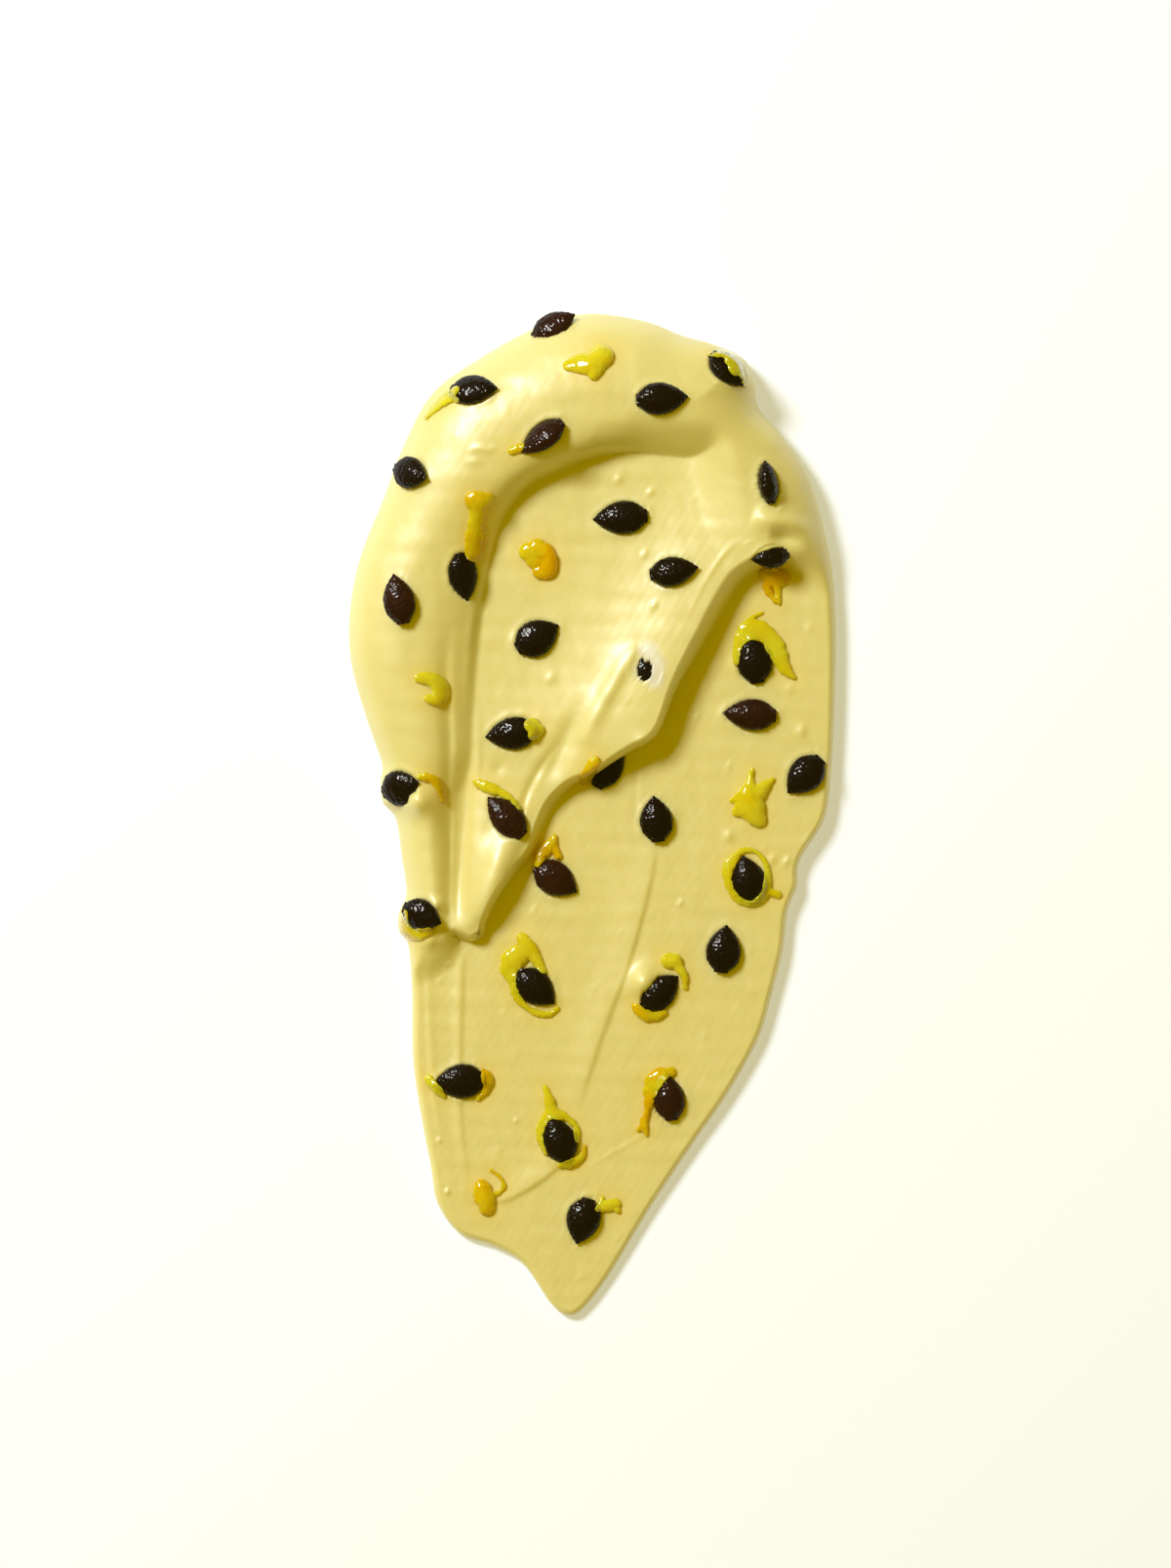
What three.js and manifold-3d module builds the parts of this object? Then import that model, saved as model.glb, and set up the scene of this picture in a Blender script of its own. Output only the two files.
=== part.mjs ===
// A smear of passion fruit cream as it lies on a plate, with the fruit's seeds and scraps of pulp in it.
// Millimetres, +Z up. The flat underside is z = 0, the thick head is at +Y and the pointed tail at -Y.
import * as THREE from "three";
import { ParametricGeometry } from "three/addons/geometries/ParametricGeometry.js";
import { mergeGeometries, mergeVertices } from "three/addons/utils/BufferGeometryUtils.js";
import Module from "manifold-3d";

// Thickness of the cream: the thin sheet, and the shelf that the spoon left standing on it
const SHEET_AT_ORIGIN = 2.4;
const SHEET_SLOPE = 0.02;
const SHELF_RISE_HEAD = 1.7;
const SHELF_RISE_TAIL = 0.6;
const SHELF_FADES_FROM = 12;
const SHELF_FADES_TO = -18;

// The rounded outer edge: how far in it reaches, which grows with the thickness above the first value, and as
// shares of the thickness the height of its widest line and how far it runs in again below that
const EDGE_REACH_FROM = 1.5;
const EDGE_REACH_GROWS = 1.1;
const EDGE_REACH_LEAST = 0.7;
const EDGE_LINE = 0.22;
const EDGE_UNDERCUT = 0.4;

// The fold: how far its crest lifts the shelf, how far in and out its lip leans, and the strip by the outline
// where nothing leans
const CREST_REACH = 8;
const LIP_REACH_IN = 1.4;
const LIP_REACH_OUT = 0.35;
const STILL_EDGE = 3;

// How steeply the abrupt part of the rim's wall ends
const ABRUPT_POWER = 5;

// Mesh of the cream: cells across, cells along on each side of the fold, and how far from the edge or the
// fold the first rows lie
const CELLS_ACROSS = 32;
const CELLS_ON_SHELF = 28;
const CELLS_ON_SHEET = 34;
const ROWS_BY_EDGE = [0, 0.45, 1.2, 2.4];
const ROWS_ABOVE_FOLD = [0, 0.6, 1.5, 2.8];
const ROWS_BELOW_FOLD = [0, 0.4, 0.8, 1.3, 2.2];

// Straight pieces to each span of a smooth line
const LINE_STEPS = 6;

// The gap between bodies that touch
const CLEARANCE = 0.25;

// Seeds and pulp
const SEED_THICKNESS = 2.1;
const SEED_SIDES = 8;
const PULP_SIDES = 6;
const PULP_RINGS = 4;
const PULP_LIFT = 0.3;
const SLOPE_STEP = 1.4;

// The outline from the top of the head, clockwise seen from above: [x, y]
const OUTLINE = [
  [-0.8, 54.8], [5.6, 54], [9.8, 52.4], [13, 51.5], [16.4, 49.9], [17.6, 47.4], [18.2, 44.4], [21.1, 41],
  [23.7, 36.8], [25.3, 31.2], [26.2, 26.6], [26.6, 20.8], [26.5, 12.8], [26.1, 4.8], [25.4, -0.3],
  [23, -4.3], [22.4, -6.1], [22.4, -7.7], [21.3, -10.6], [20.8, -14.8], [19.6, -19.6], [18.2, -24.3],
  [14.9, -30.3], [11.1, -35.8], [6.3, -43], [1.9, -50.2], [-0.8, -53.8], [-2.6, -54.8], [-4.6, -53.5],
  [-7.6, -49.2], [-10.9, -47.2], [-14.6, -45.8], [-17, -42.5], [-17.8, -38.2], [-18.9, -32.4],
  [-19.7, -26.5], [-19.8, -19.6], [-20.2, -14.3], [-21.2, -12.7], [-21.2, -10.6], [-20.4, -8.6],
  [-20.9, -4.7], [-21.6, -0.3], [-23, 1.4], [-23.2, 4], [-23.1, 5.7], [-24.8, 10.7], [-26.4, 16.5],
  [-26.6, 21.9], [-25.5, 28], [-22.9, 34.6], [-20.8, 40.1], [-17.6, 46], [-12.7, 49.7], [-6.6, 53.1],
];
// The outline's points where the four sides of the surface meet
const HEAD_RIGHT = 5;
const FOLD_RIGHT = 9;
const TAIL_RIGHT = 27;
const TAIL_LEFT = 31;
const FOLD_LEFT = 37;
const HEAD_LEFT = 52;

// The thick rim, from the right flank over the head and down the left side.
// [x, y, rise above the shelf, flat width inward, wall width inward, how abrupt the wall's foot is]
const RIM = [
  [20.5, 24.5, 0, 0.3, 4, 0], [18.8, 29.3, 0.9, 0.3, 5, 0], [17.3, 33.6, 1.4, 0.4, 5.5, 0],
  [16.2, 37.8, 2, 0.5, 5.5, 0], [15.5, 42.1, 2.8, 0.8, 5, 0.1], [13.6, 45.5, 3.3, 2.5, 4.5, 0.3],
  [9.8, 47.6, 3.6, 4.3, 4.2, 0.4], [4.5, 48.5, 3.9, 5, 4, 0.5], [-0.8, 48, 4.1, 5.2, 3.8, 0.7],
  [-6.6, 46.3, 4.2, 4.6, 4.6, 0.95], [-11.4, 43.7, 4.1, 3.8, 5.2, 1], [-15.2, 39.9, 3.8, 3, 5.8, 0.95],
  [-17.8, 35.2, 3.4, 2.2, 6.4, 0.8], [-19.4, 29.3, 3, 1.8, 6.6, 0.6], [-20.2, 22.9, 2.8, 1.8, 6.4, 0.55],
  [-20.5, 16.5, 2.6, 1.8, 6, 0.45], [-19.7, 11.2, 2.4, 1.6, 5, 0.35], [-18.5, 6.4, 1.9, 1.2, 4, 0.25],
  [-18.2, 3.2, 1, 1, 3, 0], [-18, -1, 0, 1, 3, 0], [-18, -6, 0, 1, 3, 0], [-18.6, -14, 0, 1, 3, 0],
];

// The fold where the shelf ends above the sheet, from the outline on the left to the outline on the right.
// [x, y, wall width, crest above the shelf, how far the lip leans out over the sheet]
const FOLD = [
  [-20.2, -14.3, 5, 0, 0], [-17.4, -14.2, 3.5, 0, 0], [-15.6, -12.2, 1.8, 0.2, 0.1],
  [-14.1, -12.3, 1.4, 0.7, 0.3], [-13, -12.5, 1.2, 1, 0.5], [-12.8, -10.9, 1.2, 1.2, 0.7],
  [-11.4, -8.1, 1.2, 1.3, 0.7], [-9.2, -5.4, 1.2, 1.2, 0.5], [-7.4, -3.4, 1.3, 0.9, 0.2],
  [-6.5, -0.8, 1.4, 0.6, 0.1], [-5.2, 1.9, 1.5, 0.5, 0.1], [-3, 4.2, 1.4, 0.7, 0.3],
  [-0.6, 5.5, 1.2, 1.1, 0.7], [1.6, 7.3, 1.2, 1.6, 1], [3.7, 8.7, 1.2, 2.1, 1.1],
  [5.5, 9.7, 1.2, 2.3, 1.1], [6.4, 11.6, 1.2, 2.4, 1.1], [7.4, 14, 1.4, 2.4, 0.9], [9.1, 17, 1.8, 2.3, 0.5],
  [11, 20.5, 2.1, 2.1, 0.4], [12.9, 24, 2.2, 1.8, 0.3], [14.8, 26.8, 2.2, 1.5, 0.3],
  [17.3, 28.4, 2.2, 1.2, 0.2], [20.2, 29.4, 3, 0.7, 0], [22.6, 30.2, 6, 0.3, 0], [25.3, 31.2, 9, 0, 0],
];

// Soft ridges and, with a negative rise, troughs: [x, y, rise, width on the left, width on the right]
const RIDGES = {
  column: [
    [-18.4, 3.4, 0, 2.2, 2.2], [-18.2, 0.4, 1.1, 2, 2.2], [-18.1, -5, 1.2, 1.9, 2.2],
    [-17.9, -10.5, 1, 1.9, 2], [-17.6, -14.5, 0, 1.9, 2],
  ],
  valley: [
    [-14.3, 7, 0, 1.3, 1.3], [-14.5, 2, -0.6, 1.3, 1.3], [-14.8, -3, -0.9, 1.3, 1.2],
    [-14.9, -8, -0.9, 1.2, 1], [-14.9, -12, 0, 1, 1],
  ],
  tongue: [
    [-8.2, -0.6, 0, 1.4, 1.6], [-9.8, -3.6, 0.6, 1.3, 1.6], [-10.9, -6.2, 0.9, 1.1, 1.4],
    [-12.2, -9, 0.8, 1, 1.2], [-13.3, -11.6, 0.3, 1, 1],
  ],
  swell: [
    [4.6, 18.6, 0, 0.9, 1.1], [3.6, 16.8, 0.4, 0.8, 1.1], [1.7, 13.4, 0.5, 0.8, 1.1],
    [-0.2, 9.9, 0.4, 1, 1.2], [-1, 7.4, 0, 1.2, 1.2],
  ],
  trough: [
    [-0.9, 12.2, 0, 1.1, 1.1], [-2.6, 9, -0.5, 1.1, 1.1], [-4, 5.8, -0.5, 1.1, 1.1], [-5.6, 3.4, 0, 1, 1],
  ],
  hook: [
    [21.2, 29.4, 0, 1, 1], [21.9, 27.2, 0.9, 1, 1], [21.2, 25.2, 0.8, 1, 1], [20.1, 23.4, 0, 1, 1],
  ],
  hump: [
    [17.2, 32.6, 0, 1.1, 1.1], [19, 32.2, 0.6, 1.1, 1.1], [21.3, 31.9, 0.9, 1, 1], [23, 31, 0.7, 1, 1],
    [24, 29.2, 0, 1, 1],
  ],
  hollow: [
    [19.2, 30.4, 0, 1, 1], [20.6, 30.2, -0.9, 1, 1], [22, 29.7, -0.7, 1, 1], [22.9, 28.8, 0, 1, 1],
  ],
};

// The seeds: [x, y, way the point looks in degrees, length, width, roll about that line in degrees,
// how far its middle lies above the surface, what it lies on]
const SEEDS = [
  [-4.2, 53.2, 19, 5.4, 3.4, 20, 0.1, "cream"],
  [-12.8, 46.1, -10, 5.5, 3.6, 0, 0.3, "cream"],
  [7.5, 45.2, 4, 5.7, 3.6, 0, 0.3, "cream"],
  [14.6, 48.4, -52, 5, 3.6, 0, 0.1, "cream"],
  [-5.5, 41, 217, 5.6, 3.4, 42, 0.4, "cream"],
  [-19.5, 37.1, -18, 4.9, 3.6, 0, 0.5, "cream"],
  [3, 32.4, 184, 6, 3.7, 0, 0.4, "cream"],
  [19, 36.2, 98, 4.8, 3.2, 62, 0.2, "cream"],
  [-14.1, 25.9, -76, 5.4, 3.4, 0, 0.1, "cream"],
  [-21, 23.5, 102, 5.6, 3.6, 0, 0.6, "cream"],
  [8.9, 26.5, 8, 5.4, 3.3, 0, 0.5, "cream"],
  [19.2, 28.3, 172, 4.3, 2.8, 74, 0.2, "cream"],
  [-6, 19.4, 30, 5.3, 4, 0, 0.4, "cream"],
  [5.6, 16.1, 112, 4.6, 3.4, 0, -0.9, "cream"],
  [17.6, 17, 98, 5.3, 3.9, 0, 0.3, "sheet"],
  [17.1, 11, 177, 5.9, 3.5, 0, 0.4, "sheet"],
  [-8.9, 8.9, 188, 5.7, 3.6, 0, 0.4, "cream"],
  [23.1, 4.3, 226, 5.3, 3.8, 0, 0.4, "sheet"],
  [-20.9, 3, 20, 4.9, 4, 0, 0, "cream"],
  [-9.5, -0.2, 132, 5.8, 3.5, 0, 0.4, "cream"],
  [1.7, 5.5, 62, 5.6, 3.5, 0, 0.3, "sheet"],
  [6.9, -0.4, 96, 5.1, 3.7, 0, 0.5, "sheet"],
  [-4, -7, -32, 5.4, 3.8, 0, 0.4, "sheet"],
  [17, -7, 103, 5.3, 3.9, 0, 0.2, "sheet"],
  [14.3, -14.6, 83, 5.3, 3.9, 0, 0.5, "sheet"],
  [-18.5, -10.9, -18, 4.8, 3.5, 0, 0.2, "cream"],
  [7.4, -19.3, 42, 5.2, 3.5, 0, 0.2, "sheet"],
  [-6.2, -18.9, -40, 5.3, 3.8, 0, 0.3, "sheet"],
  [-14.6, -29.1, 184, 5.7, 3.8, 0, 0.3, "sheet"],
  [8.3, -30.8, 97, 5.2, 3.5, 0, 0.4, "sheet"],
  [-3.7, -35.4, 110, 5.3, 3.8, 0, 0.4, "sheet"],
  [-1.1, -44.4, 255, 5.2, 3.8, 0, 0.4, "sheet"],
];

// A seed's half profile from the stalk nib to the point: [share of the length, share of the half width]
const SEED_PROFILE = [[-0.5, 0], [-0.45, 0.42], [-0.24, 0.92], [0, 1], [0.3, 0.6], [0.5, 0]];

// The scraps of pulp: what each lies on, and its lumps, each with
// [x, y, half length, half width, direction in degrees, half height]
const PULP = [
  ["cream", [0.5, 49.5, 1.7, 1.3, 35, 0.8], [-2, 48.7, 1.4, 0.9, 10, 0.6]],
  ["cream", [-15.8, 45.4, 1.2, 0.5, 25, 0.4], [-17.2, 44.3, 1.1, 0.4, 48, 0.4]],
  ["cream", [15.3, 49.9, 1.7, 0.8, -22, 0.7], [16.5, 48, 1.6, 0.8, -66, 0.7]],
  ["cream", [-8.5, 39.8, 0.8, 0.5, 10, 0.5]],
  ["cream", [-12.7, 33.9, 1.3, 0.9, 8, 0.8], [-12.8, 31.4, 2.9, 0.8, 92, 0.8]],
  ["cream", [-6.3, 28.6, 1.7, 1.3, 0, 1], [-5.7, 26.9, 1.1, 0.9, 30, 0.8]],
  ["cream", [-18.5, 14.9, 1, 0.6, -25, 0.5], [-17.1, 14.1, 1.2, 1, -40, 0.7],
    [-17.2, 12.9, 1.1, 0.8, 30, 0.6]],
  ["cream", [-6, 9.6, 1.1, 1.2, 0, 0.9]],
  ["sheet", [19.8, 26.6, 1.5, 0.8, -15, 0.6], [19.8, 24.7, 1.5, 0.5, -75, 0.5]],
  ["sheet", [17.6, 20.2, 1.5, 0.8, 15, 0.7], [19.4, 19.2, 1.5, 0.7, -42, 0.7],
    [20.7, 17.1, 1.7, 0.6, -62, 0.5]],
  ["sheet", [17.3, 1.4, 1.9, 1.5, 10, 0.9], [17.4, 3.3, 1.5, 0.5, 88, 0.5],
    [19, 2.8, 1.3, 0.5, 38, 0.5], [18.6, 0.4, 1, 0.9, 0, 0.7]],
  ["cream", [-12.2, 3, 1.1, 0.5, -15, 0.5], [-10.9, 2.7, 1, 0.5, -30, 0.5]],
  ["sheet", [-0.3, 4.9, 1.4, 0.7, 60, 0.6]],
  ["sheet", [-5.4, -3.9, 1.3, 0.7, 50, 0.6], [-4.4, -3, 0.9, 0.7, 70, 0.5]],
  ["sheet", [14.5, -5.4, 1.6, 0.7, -60, 0.6]],
  ["cream", [-20, -12.4, 1.4, 0.8, -62, 0.7], [-18.8, -13.3, 1.4, 0.6, 12, 0.5]],
  ["sheet", [8.8, -16.2, 1.2, 1, 40, 0.7], [10, -17.9, 1.1, 0.5, 85, 0.5]],
  ["sheet", [5.6, -21.6, 1.4, 0.7, -25, 0.6]],
  ["sheet", [-7, -14.6, 1.9, 1, -62, 0.7], [-8.9, -16.2, 1.5, 1.1, -20, 0.9],
    [-8.9, -18.7, 1.5, 0.7, -80, 0.6]],
  ["sheet", [-17.6, -29, 1.1, 0.8, 0, 0.6]],
  ["sheet", [-11.3, -29.4, 1.3, 0.7, 80, 0.6]],
  ["sheet", [6.8, -28.5, 1.1, 0.7, 20, 0.6], [5.9, -30.3, 1.6, 0.5, 82, 0.5],
    [5.6, -32.9, 1.5, 0.5, -80, 0.5]],
  ["sheet", [-4.7, -31, 1.6, 0.7, 100, 0.6], [-5.6, -33.2, 1.5, 0.6, 70, 0.5]],
  ["sheet", [-2, -38, 1.5, 0.6, 15, 0.5]],
  ["sheet", [1.8, -42.7, 1.2, 0.8, 0, 0.6]],
  ["sheet", [-11.9, -41.8, 1.8, 1.1, 80, 0.8], [-10.7, -40, 1.2, 0.4, 110, 0.4]],
  ["cream", [-18.1, 4, 1.3, 0.6, -12, 0.5], [-16.7, 2.9, 1.2, 0.5, -60, 0.4]],
];

const CREAM_COLOUR = 0xf0e08c;
const SEED_COLOUR = 0x24130f;
const PULP_COLOUR = 0xe6c400;

const radians = THREE.MathUtils.degToRad;
const ease = (from, to, value) => {
  const t = Math.min(Math.max((value - from) / (to - from), 0), 1);
  return t * t * (3 - 2 * t);
};

// A smooth line through rows of [x, y, value, ...], with a few steps to each span
function line(rows, closed = false) {
  const last = rows.length - 1;
  const row = (i) => (closed ? rows[(i + rows.length) % rows.length] : rows[Math.min(Math.max(i, 0), last)]);
  const points = [];
  for (let i = 0; i < (closed ? rows.length : last); i++)
    for (let k = 0; k < LINE_STEPS; k++) {
      const t = k / LINE_STEPS;
      const [a, b, c, d] = [row(i - 1), row(i), row(i + 1), row(i + 2)];
      points.push(
        b.map((p, n) => p + 0.5 * t * (c[n] - a[n]
          + t * (2 * a[n] - 5 * p + 4 * c[n] - d[n] + t * (3 * p - a[n] - 3 * c[n] + d[n])))),
      );
    }
  points.push([...row(closed ? 0 : last)]);
  return points;
}

// The nearest place on a line, its distance, positive on the line's left, its rows' values and the way left
function nearest(points, x, y) {
  let best = { square: Infinity };
  for (let i = 0; i + 1 < points.length; i++) {
    const [a, b] = [points[i], points[i + 1]];
    const [dx, dy] = [b[0] - a[0], b[1] - a[1]];
    const t = Math.min(Math.max(((x - a[0]) * dx + (y - a[1]) * dy) / (dx * dx + dy * dy), 0), 1);
    const [ex, ey] = [x - a[0] - t * dx, y - a[1] - t * dy];
    const square = ex * ex + ey * ey;
    if (square < best.square) best = { square, a, b, t, side: Math.sign(dx * ey - dy * ex) || 1, dx, dy };
  }
  const { a, b, t, side, dx, dy } = best;
  const size = Math.hypot(dx, dy);
  return {
    distance: side * Math.sqrt(best.square),
    point: [a[0] + t * dx, a[1] + t * dy],
    values: a.map((v, n) => v + t * (b[n] - v)).slice(2),
    left: [-dy / size, dx / size],
  };
}

const outlineLine = line(OUTLINE, true);
const rimLine = line(RIM);
const foldLine = line(FOLD);
const ridgeLines = Object.values(RIDGES).map((rows) => line(rows));

const sheetHeight = (y) => SHEET_AT_ORIGIN + SHEET_SLOPE * y;

// The rim's rise: whole outside its crest, and inside it the most that any point of the crest lends
function rimRise(x, y) {
  const rim = nearest(rimLine, x, y);
  const [px, py] = rim.distance > 0 ? [x, y] : rim.point;
  return Math.max(
    ...rimLine.map(([cx, cy, rise, flat, wall, abrupt]) => {
      const u = Math.min(Math.max((Math.hypot(px - cx, py - cy) - flat) / wall, 0), 1);
      return rise * ((1 - abrupt) * (1 - ease(0, 1, u)) + abrupt * (1 - u ** ABRUPT_POWER));
    }),
  );
}

// How much the fold's crest lifts the shelf: the most that any point of it lends
function crestRise(fold, x, y) {
  const [px, py] = fold.distance > 0 ? [x, y] : fold.point;
  return Math.max(
    ...foldLine.map(([cx, cy, , crest]) => {
      const gap = Math.hypot(px - cx, py - cy);
      return crest * Math.exp(-((gap / CREST_REACH) ** 2));
    }),
  );
}

function ridgeHeight(points, x, y) {
  const { distance, values } = nearest(points, x, y);
  const [rise, leftWidth, rightWidth] = values;
  return rise * Math.exp(-((distance / (distance > 0 ? leftWidth : rightWidth)) ** 2));
}

// The cream's thickness, and the sideways lean of the surface, before the outer edge is rounded
function layer(x, y) {
  const fold = nearest(foldLine, x, y);
  const [wall, , lean] = fold.values;
  const onShelf = ease(-wall, 0, fold.distance);
  const lipReach = fold.distance > -wall / 2 ? LIP_REACH_IN : LIP_REACH_OUT * wall;
  const towardsHead = ease(SHELF_FADES_TO, SHELF_FADES_FROM, y);
  const shelf = SHELF_RISE_TAIL + (SHELF_RISE_HEAD - SHELF_RISE_TAIL) * towardsHead
    + rimRise(x, y)
    + crestRise(fold, x, y)
    + ridgeLines.reduce((sum, points) => sum + ridgeHeight(points, x, y), 0);
  return {
    thickness: sheetHeight(y) + onShelf * shelf,
    lean: fold.left.map((v) => -v * lean * Math.exp(-(((fold.distance + wall / 2) / lipReach) ** 2))),
  };
}

// The height of the surface with its rounded outer edge
function surfaceHeight(x, y, thickness = layer(x, y).thickness) {
  const inward = Math.abs(nearest(outlineLine, x, y).distance);
  const reach = Math.max(EDGE_REACH_LEAST, EDGE_REACH_GROWS * (thickness - EDGE_REACH_FROM));
  const u = Math.max(1 - inward / reach, 0);
  const edge = EDGE_LINE * thickness;
  return edge + (thickness - edge) * Math.sqrt(1 - u * u);
}

// A line in the plan as a function of the share of its length
function along(points) {
  const path = new THREE.CurvePath();
  for (let i = 0; i + 1 < points.length; i++)
    path.add(new THREE.LineCurve(new THREE.Vector2(...points[i]), new THREE.Vector2(...points[i + 1])));
  return (share) => path.getPointAt(Math.min(Math.max(share, 0), 1));
}

// The outline clockwise between two of its rows
function outlineSide(from, to) {
  const total = OUTLINE.length;
  const steps = ((to - from + total) % total) * LINE_STEPS;
  const rows = Array.from({ length: steps + 1 }, (_, i) => (from * LINE_STEPS + i) % (total * LINE_STEPS));
  return along(rows.map((row) => outlineLine[row]));
}

const backwards = (side) => (share) => side(1 - share);
const foldSide = along(foldLine);

// The two fields of the surface, each with four sides that run left to right or from the tail to the head
const SHELF = {
  low: foldSide,
  high: outlineSide(HEAD_LEFT, HEAD_RIGHT),
  left: outlineSide(FOLD_LEFT, HEAD_LEFT),
  right: backwards(outlineSide(HEAD_RIGHT, FOLD_RIGHT)),
  cells: CELLS_ON_SHELF,
  rowsLow: ROWS_ABOVE_FOLD,
  rowsHigh: ROWS_BY_EDGE,
};
const SHEET = {
  low: backwards(outlineSide(TAIL_RIGHT, TAIL_LEFT)),
  high: foldSide,
  left: outlineSide(TAIL_LEFT, FOLD_LEFT),
  right: backwards(outlineSide(FOLD_RIGHT, TAIL_RIGHT)),
  cells: CELLS_ON_SHEET,
  rowsLow: ROWS_BY_EDGE,
  rowsHigh: ROWS_BELOW_FOLD,
};

// The share of a length at a step: at set distances by its two ends and even between
function spread(step, cells, length, first, last) {
  if (step < first.length) return first[step] / length;
  if (cells - step < last.length) return 1 - last[cells - step] / length;
  const [from, to] = [first.at(-1), length - last.at(-1)];
  const share = (step - first.length + 1) / (cells - first.length - last.length + 2);
  return (from + share * (to - from)) / length;
}

// The place in the plan of a field's grid point, spread between its four sides
function plan(field, i, j) {
  const [evenU, evenV] = [i / CELLS_ACROSS, j / field.cells];
  const height = field.low(evenU).distanceTo(field.high(evenU));
  const width = field.left(evenV).distanceTo(field.right(evenV));
  const u = spread(i, CELLS_ACROSS, width, ROWS_BY_EDGE, ROWS_BY_EDGE);
  const v = spread(j, field.cells, height, field.rowsLow, field.rowsHigh);
  const [low, high, left, right] = [field.low(u), field.high(u), field.left(v), field.right(v)];
  const [lowLeft, lowRight, highLeft, highRight] = [field.low(0), field.low(1), field.high(0), field.high(1)];
  const blend = (k) =>
    (1 - v) * low[k] + v * high[k] + (1 - u) * left[k] + u * right[k]
    - (1 - v) * ((1 - u) * lowLeft[k] + u * lowRight[k]) - v * ((1 - u) * highLeft[k] + u * highRight[k]);
  return [blend("x"), blend("y")];
}

const onOutline = (field, i, j) =>
  i === 0 || i === CELLS_ACROSS || (field === SHELF ? j === field.cells : j === 0);

function surfacePoint(field, i, j) {
  const [x, y] = plan(field, i, j);
  const { thickness, lean } = layer(x, y);
  if (onOutline(field, i, j)) return new THREE.Vector3(x, y, EDGE_LINE * thickness);
  const free = ease(0, STILL_EDGE, Math.abs(nearest(outlineLine, x, y).distance));
  return new THREE.Vector3(x + free * lean[0], y + free * lean[1], surfaceHeight(x, y, thickness));
}

function fieldGeometry(field) {
  const place = (u, v, target) =>
    target.copy(surfacePoint(field, Math.round(u * CELLS_ACROSS), Math.round(v * field.cells)));
  return new ParametricGeometry(place, CELLS_ACROSS, field.cells);
}

// The surface's points on the outline, anticlockwise from the tail's left corner
function border() {
  const ring = [];
  for (let i = 0; i < CELLS_ACROSS; i++) ring.push(surfacePoint(SHEET, i, 0));
  for (let j = 0; j < SHEET.cells; j++) ring.push(surfacePoint(SHEET, CELLS_ACROSS, j));
  for (let j = 0; j < SHELF.cells; j++) ring.push(surfacePoint(SHELF, CELLS_ACROSS, j));
  for (let i = CELLS_ACROSS; i > 0; i--) ring.push(surfacePoint(SHELF, i, SHELF.cells));
  for (let j = SHELF.cells; j > 0; j--) ring.push(surfacePoint(SHELF, 0, j));
  for (let j = SHEET.cells; j > 0; j--) ring.push(surfacePoint(SHEET, 0, j));
  return ring;
}

// Below its widest line the edge runs in again to the flat underside
function footOf(point) {
  const { left } = nearest(outlineLine, point.x, point.y);
  const inset = EDGE_UNDERCUT * point.z;
  return new THREE.Vector3(point.x - left[0] * inset, point.y - left[1] * inset, 0);
}

function creamGeometry() {
  const ring = border();
  const feet = ring.map(footOf);
  const place = (around, up, target) => {
    const step = Math.round(around * ring.length) % ring.length;
    target.copy((up > 0 ? ring : feet)[step]);
  };
  const skirt = new ParametricGeometry(place, ring.length, 1);
  const underside = new THREE.ShapeGeometry(new THREE.Shape(feet.map(({ x, y }) => new THREE.Vector2(x, y))));
  underside.index.array.reverse();
  return mergeGeometries([fieldGeometry(SHELF), fieldGeometry(SHEET), skirt, underside]);
}

const wasm = await Module();
wasm.setup();

function solid(geometry) {
  const bare = geometry.clone();
  bare.deleteAttribute("normal");
  bare.deleteAttribute("uv");
  const merged = mergeVertices(bare, 1e-4);
  return new wasm.Manifold(
    new wasm.Mesh({
      numProp: 3,
      vertProperties: merged.attributes.position.array,
      triVerts: new Uint32Array(merged.index.array),
    }),
  );
}

// The largest body of a solid, so that no loose scrap is left where one piece cuts another
function largest(shape) {
  return shape.decompose().reduce((a, b) => (b.volume() > a.volume() ? b : a));
}

function meshOf(name, shape, material) {
  const made = shape.getMesh();
  const geometry = new THREE.BufferGeometry();
  geometry.setAttribute("position", new THREE.BufferAttribute(made.vertProperties, 3));
  geometry.setIndex(new THREE.BufferAttribute(made.triVerts, 1));
  geometry.computeVertexNormals();
  const mesh = new THREE.Mesh(geometry, material);
  mesh.name = name;
  return mesh;
}

// Where a piece lies: the height of what carries it and the way that faces up
function seat(x, y, on) {
  const height = on === "sheet" ? (_, b) => sheetHeight(b) : (a, b) => surfaceHeight(a, b);
  const slopeX = (height(x + SLOPE_STEP, y) - height(x - SLOPE_STEP, y)) / (2 * SLOPE_STEP);
  const slopeY = (height(x, y + SLOPE_STEP) - height(x, y - SLOPE_STEP)) / (2 * SLOPE_STEP);
  return { z: height(x, y), up: new THREE.Vector3(-slopeX, -slopeY, 1).normalize() };
}

// A matrix whose Y axis looks along a direction in the plan, laid on the local slope
function layDown(x, y, degrees, roll, lift, on) {
  const { z, up } = seat(x, y, on);
  const heading = new THREE.Vector3(Math.cos(radians(degrees)), Math.sin(radians(degrees)), 0);
  const forward = heading.addScaledVector(up, -heading.dot(up)).normalize();
  const across = new THREE.Vector3().crossVectors(forward, up);
  return new THREE.Matrix4()
    .makeBasis(across, forward, up)
    .multiply(new THREE.Matrix4().makeRotationY(radians(roll)))
    .premultiply(new THREE.Matrix4().makeTranslation(x + lift * up.x, y + lift * up.y, z + lift * up.z));
}

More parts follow.
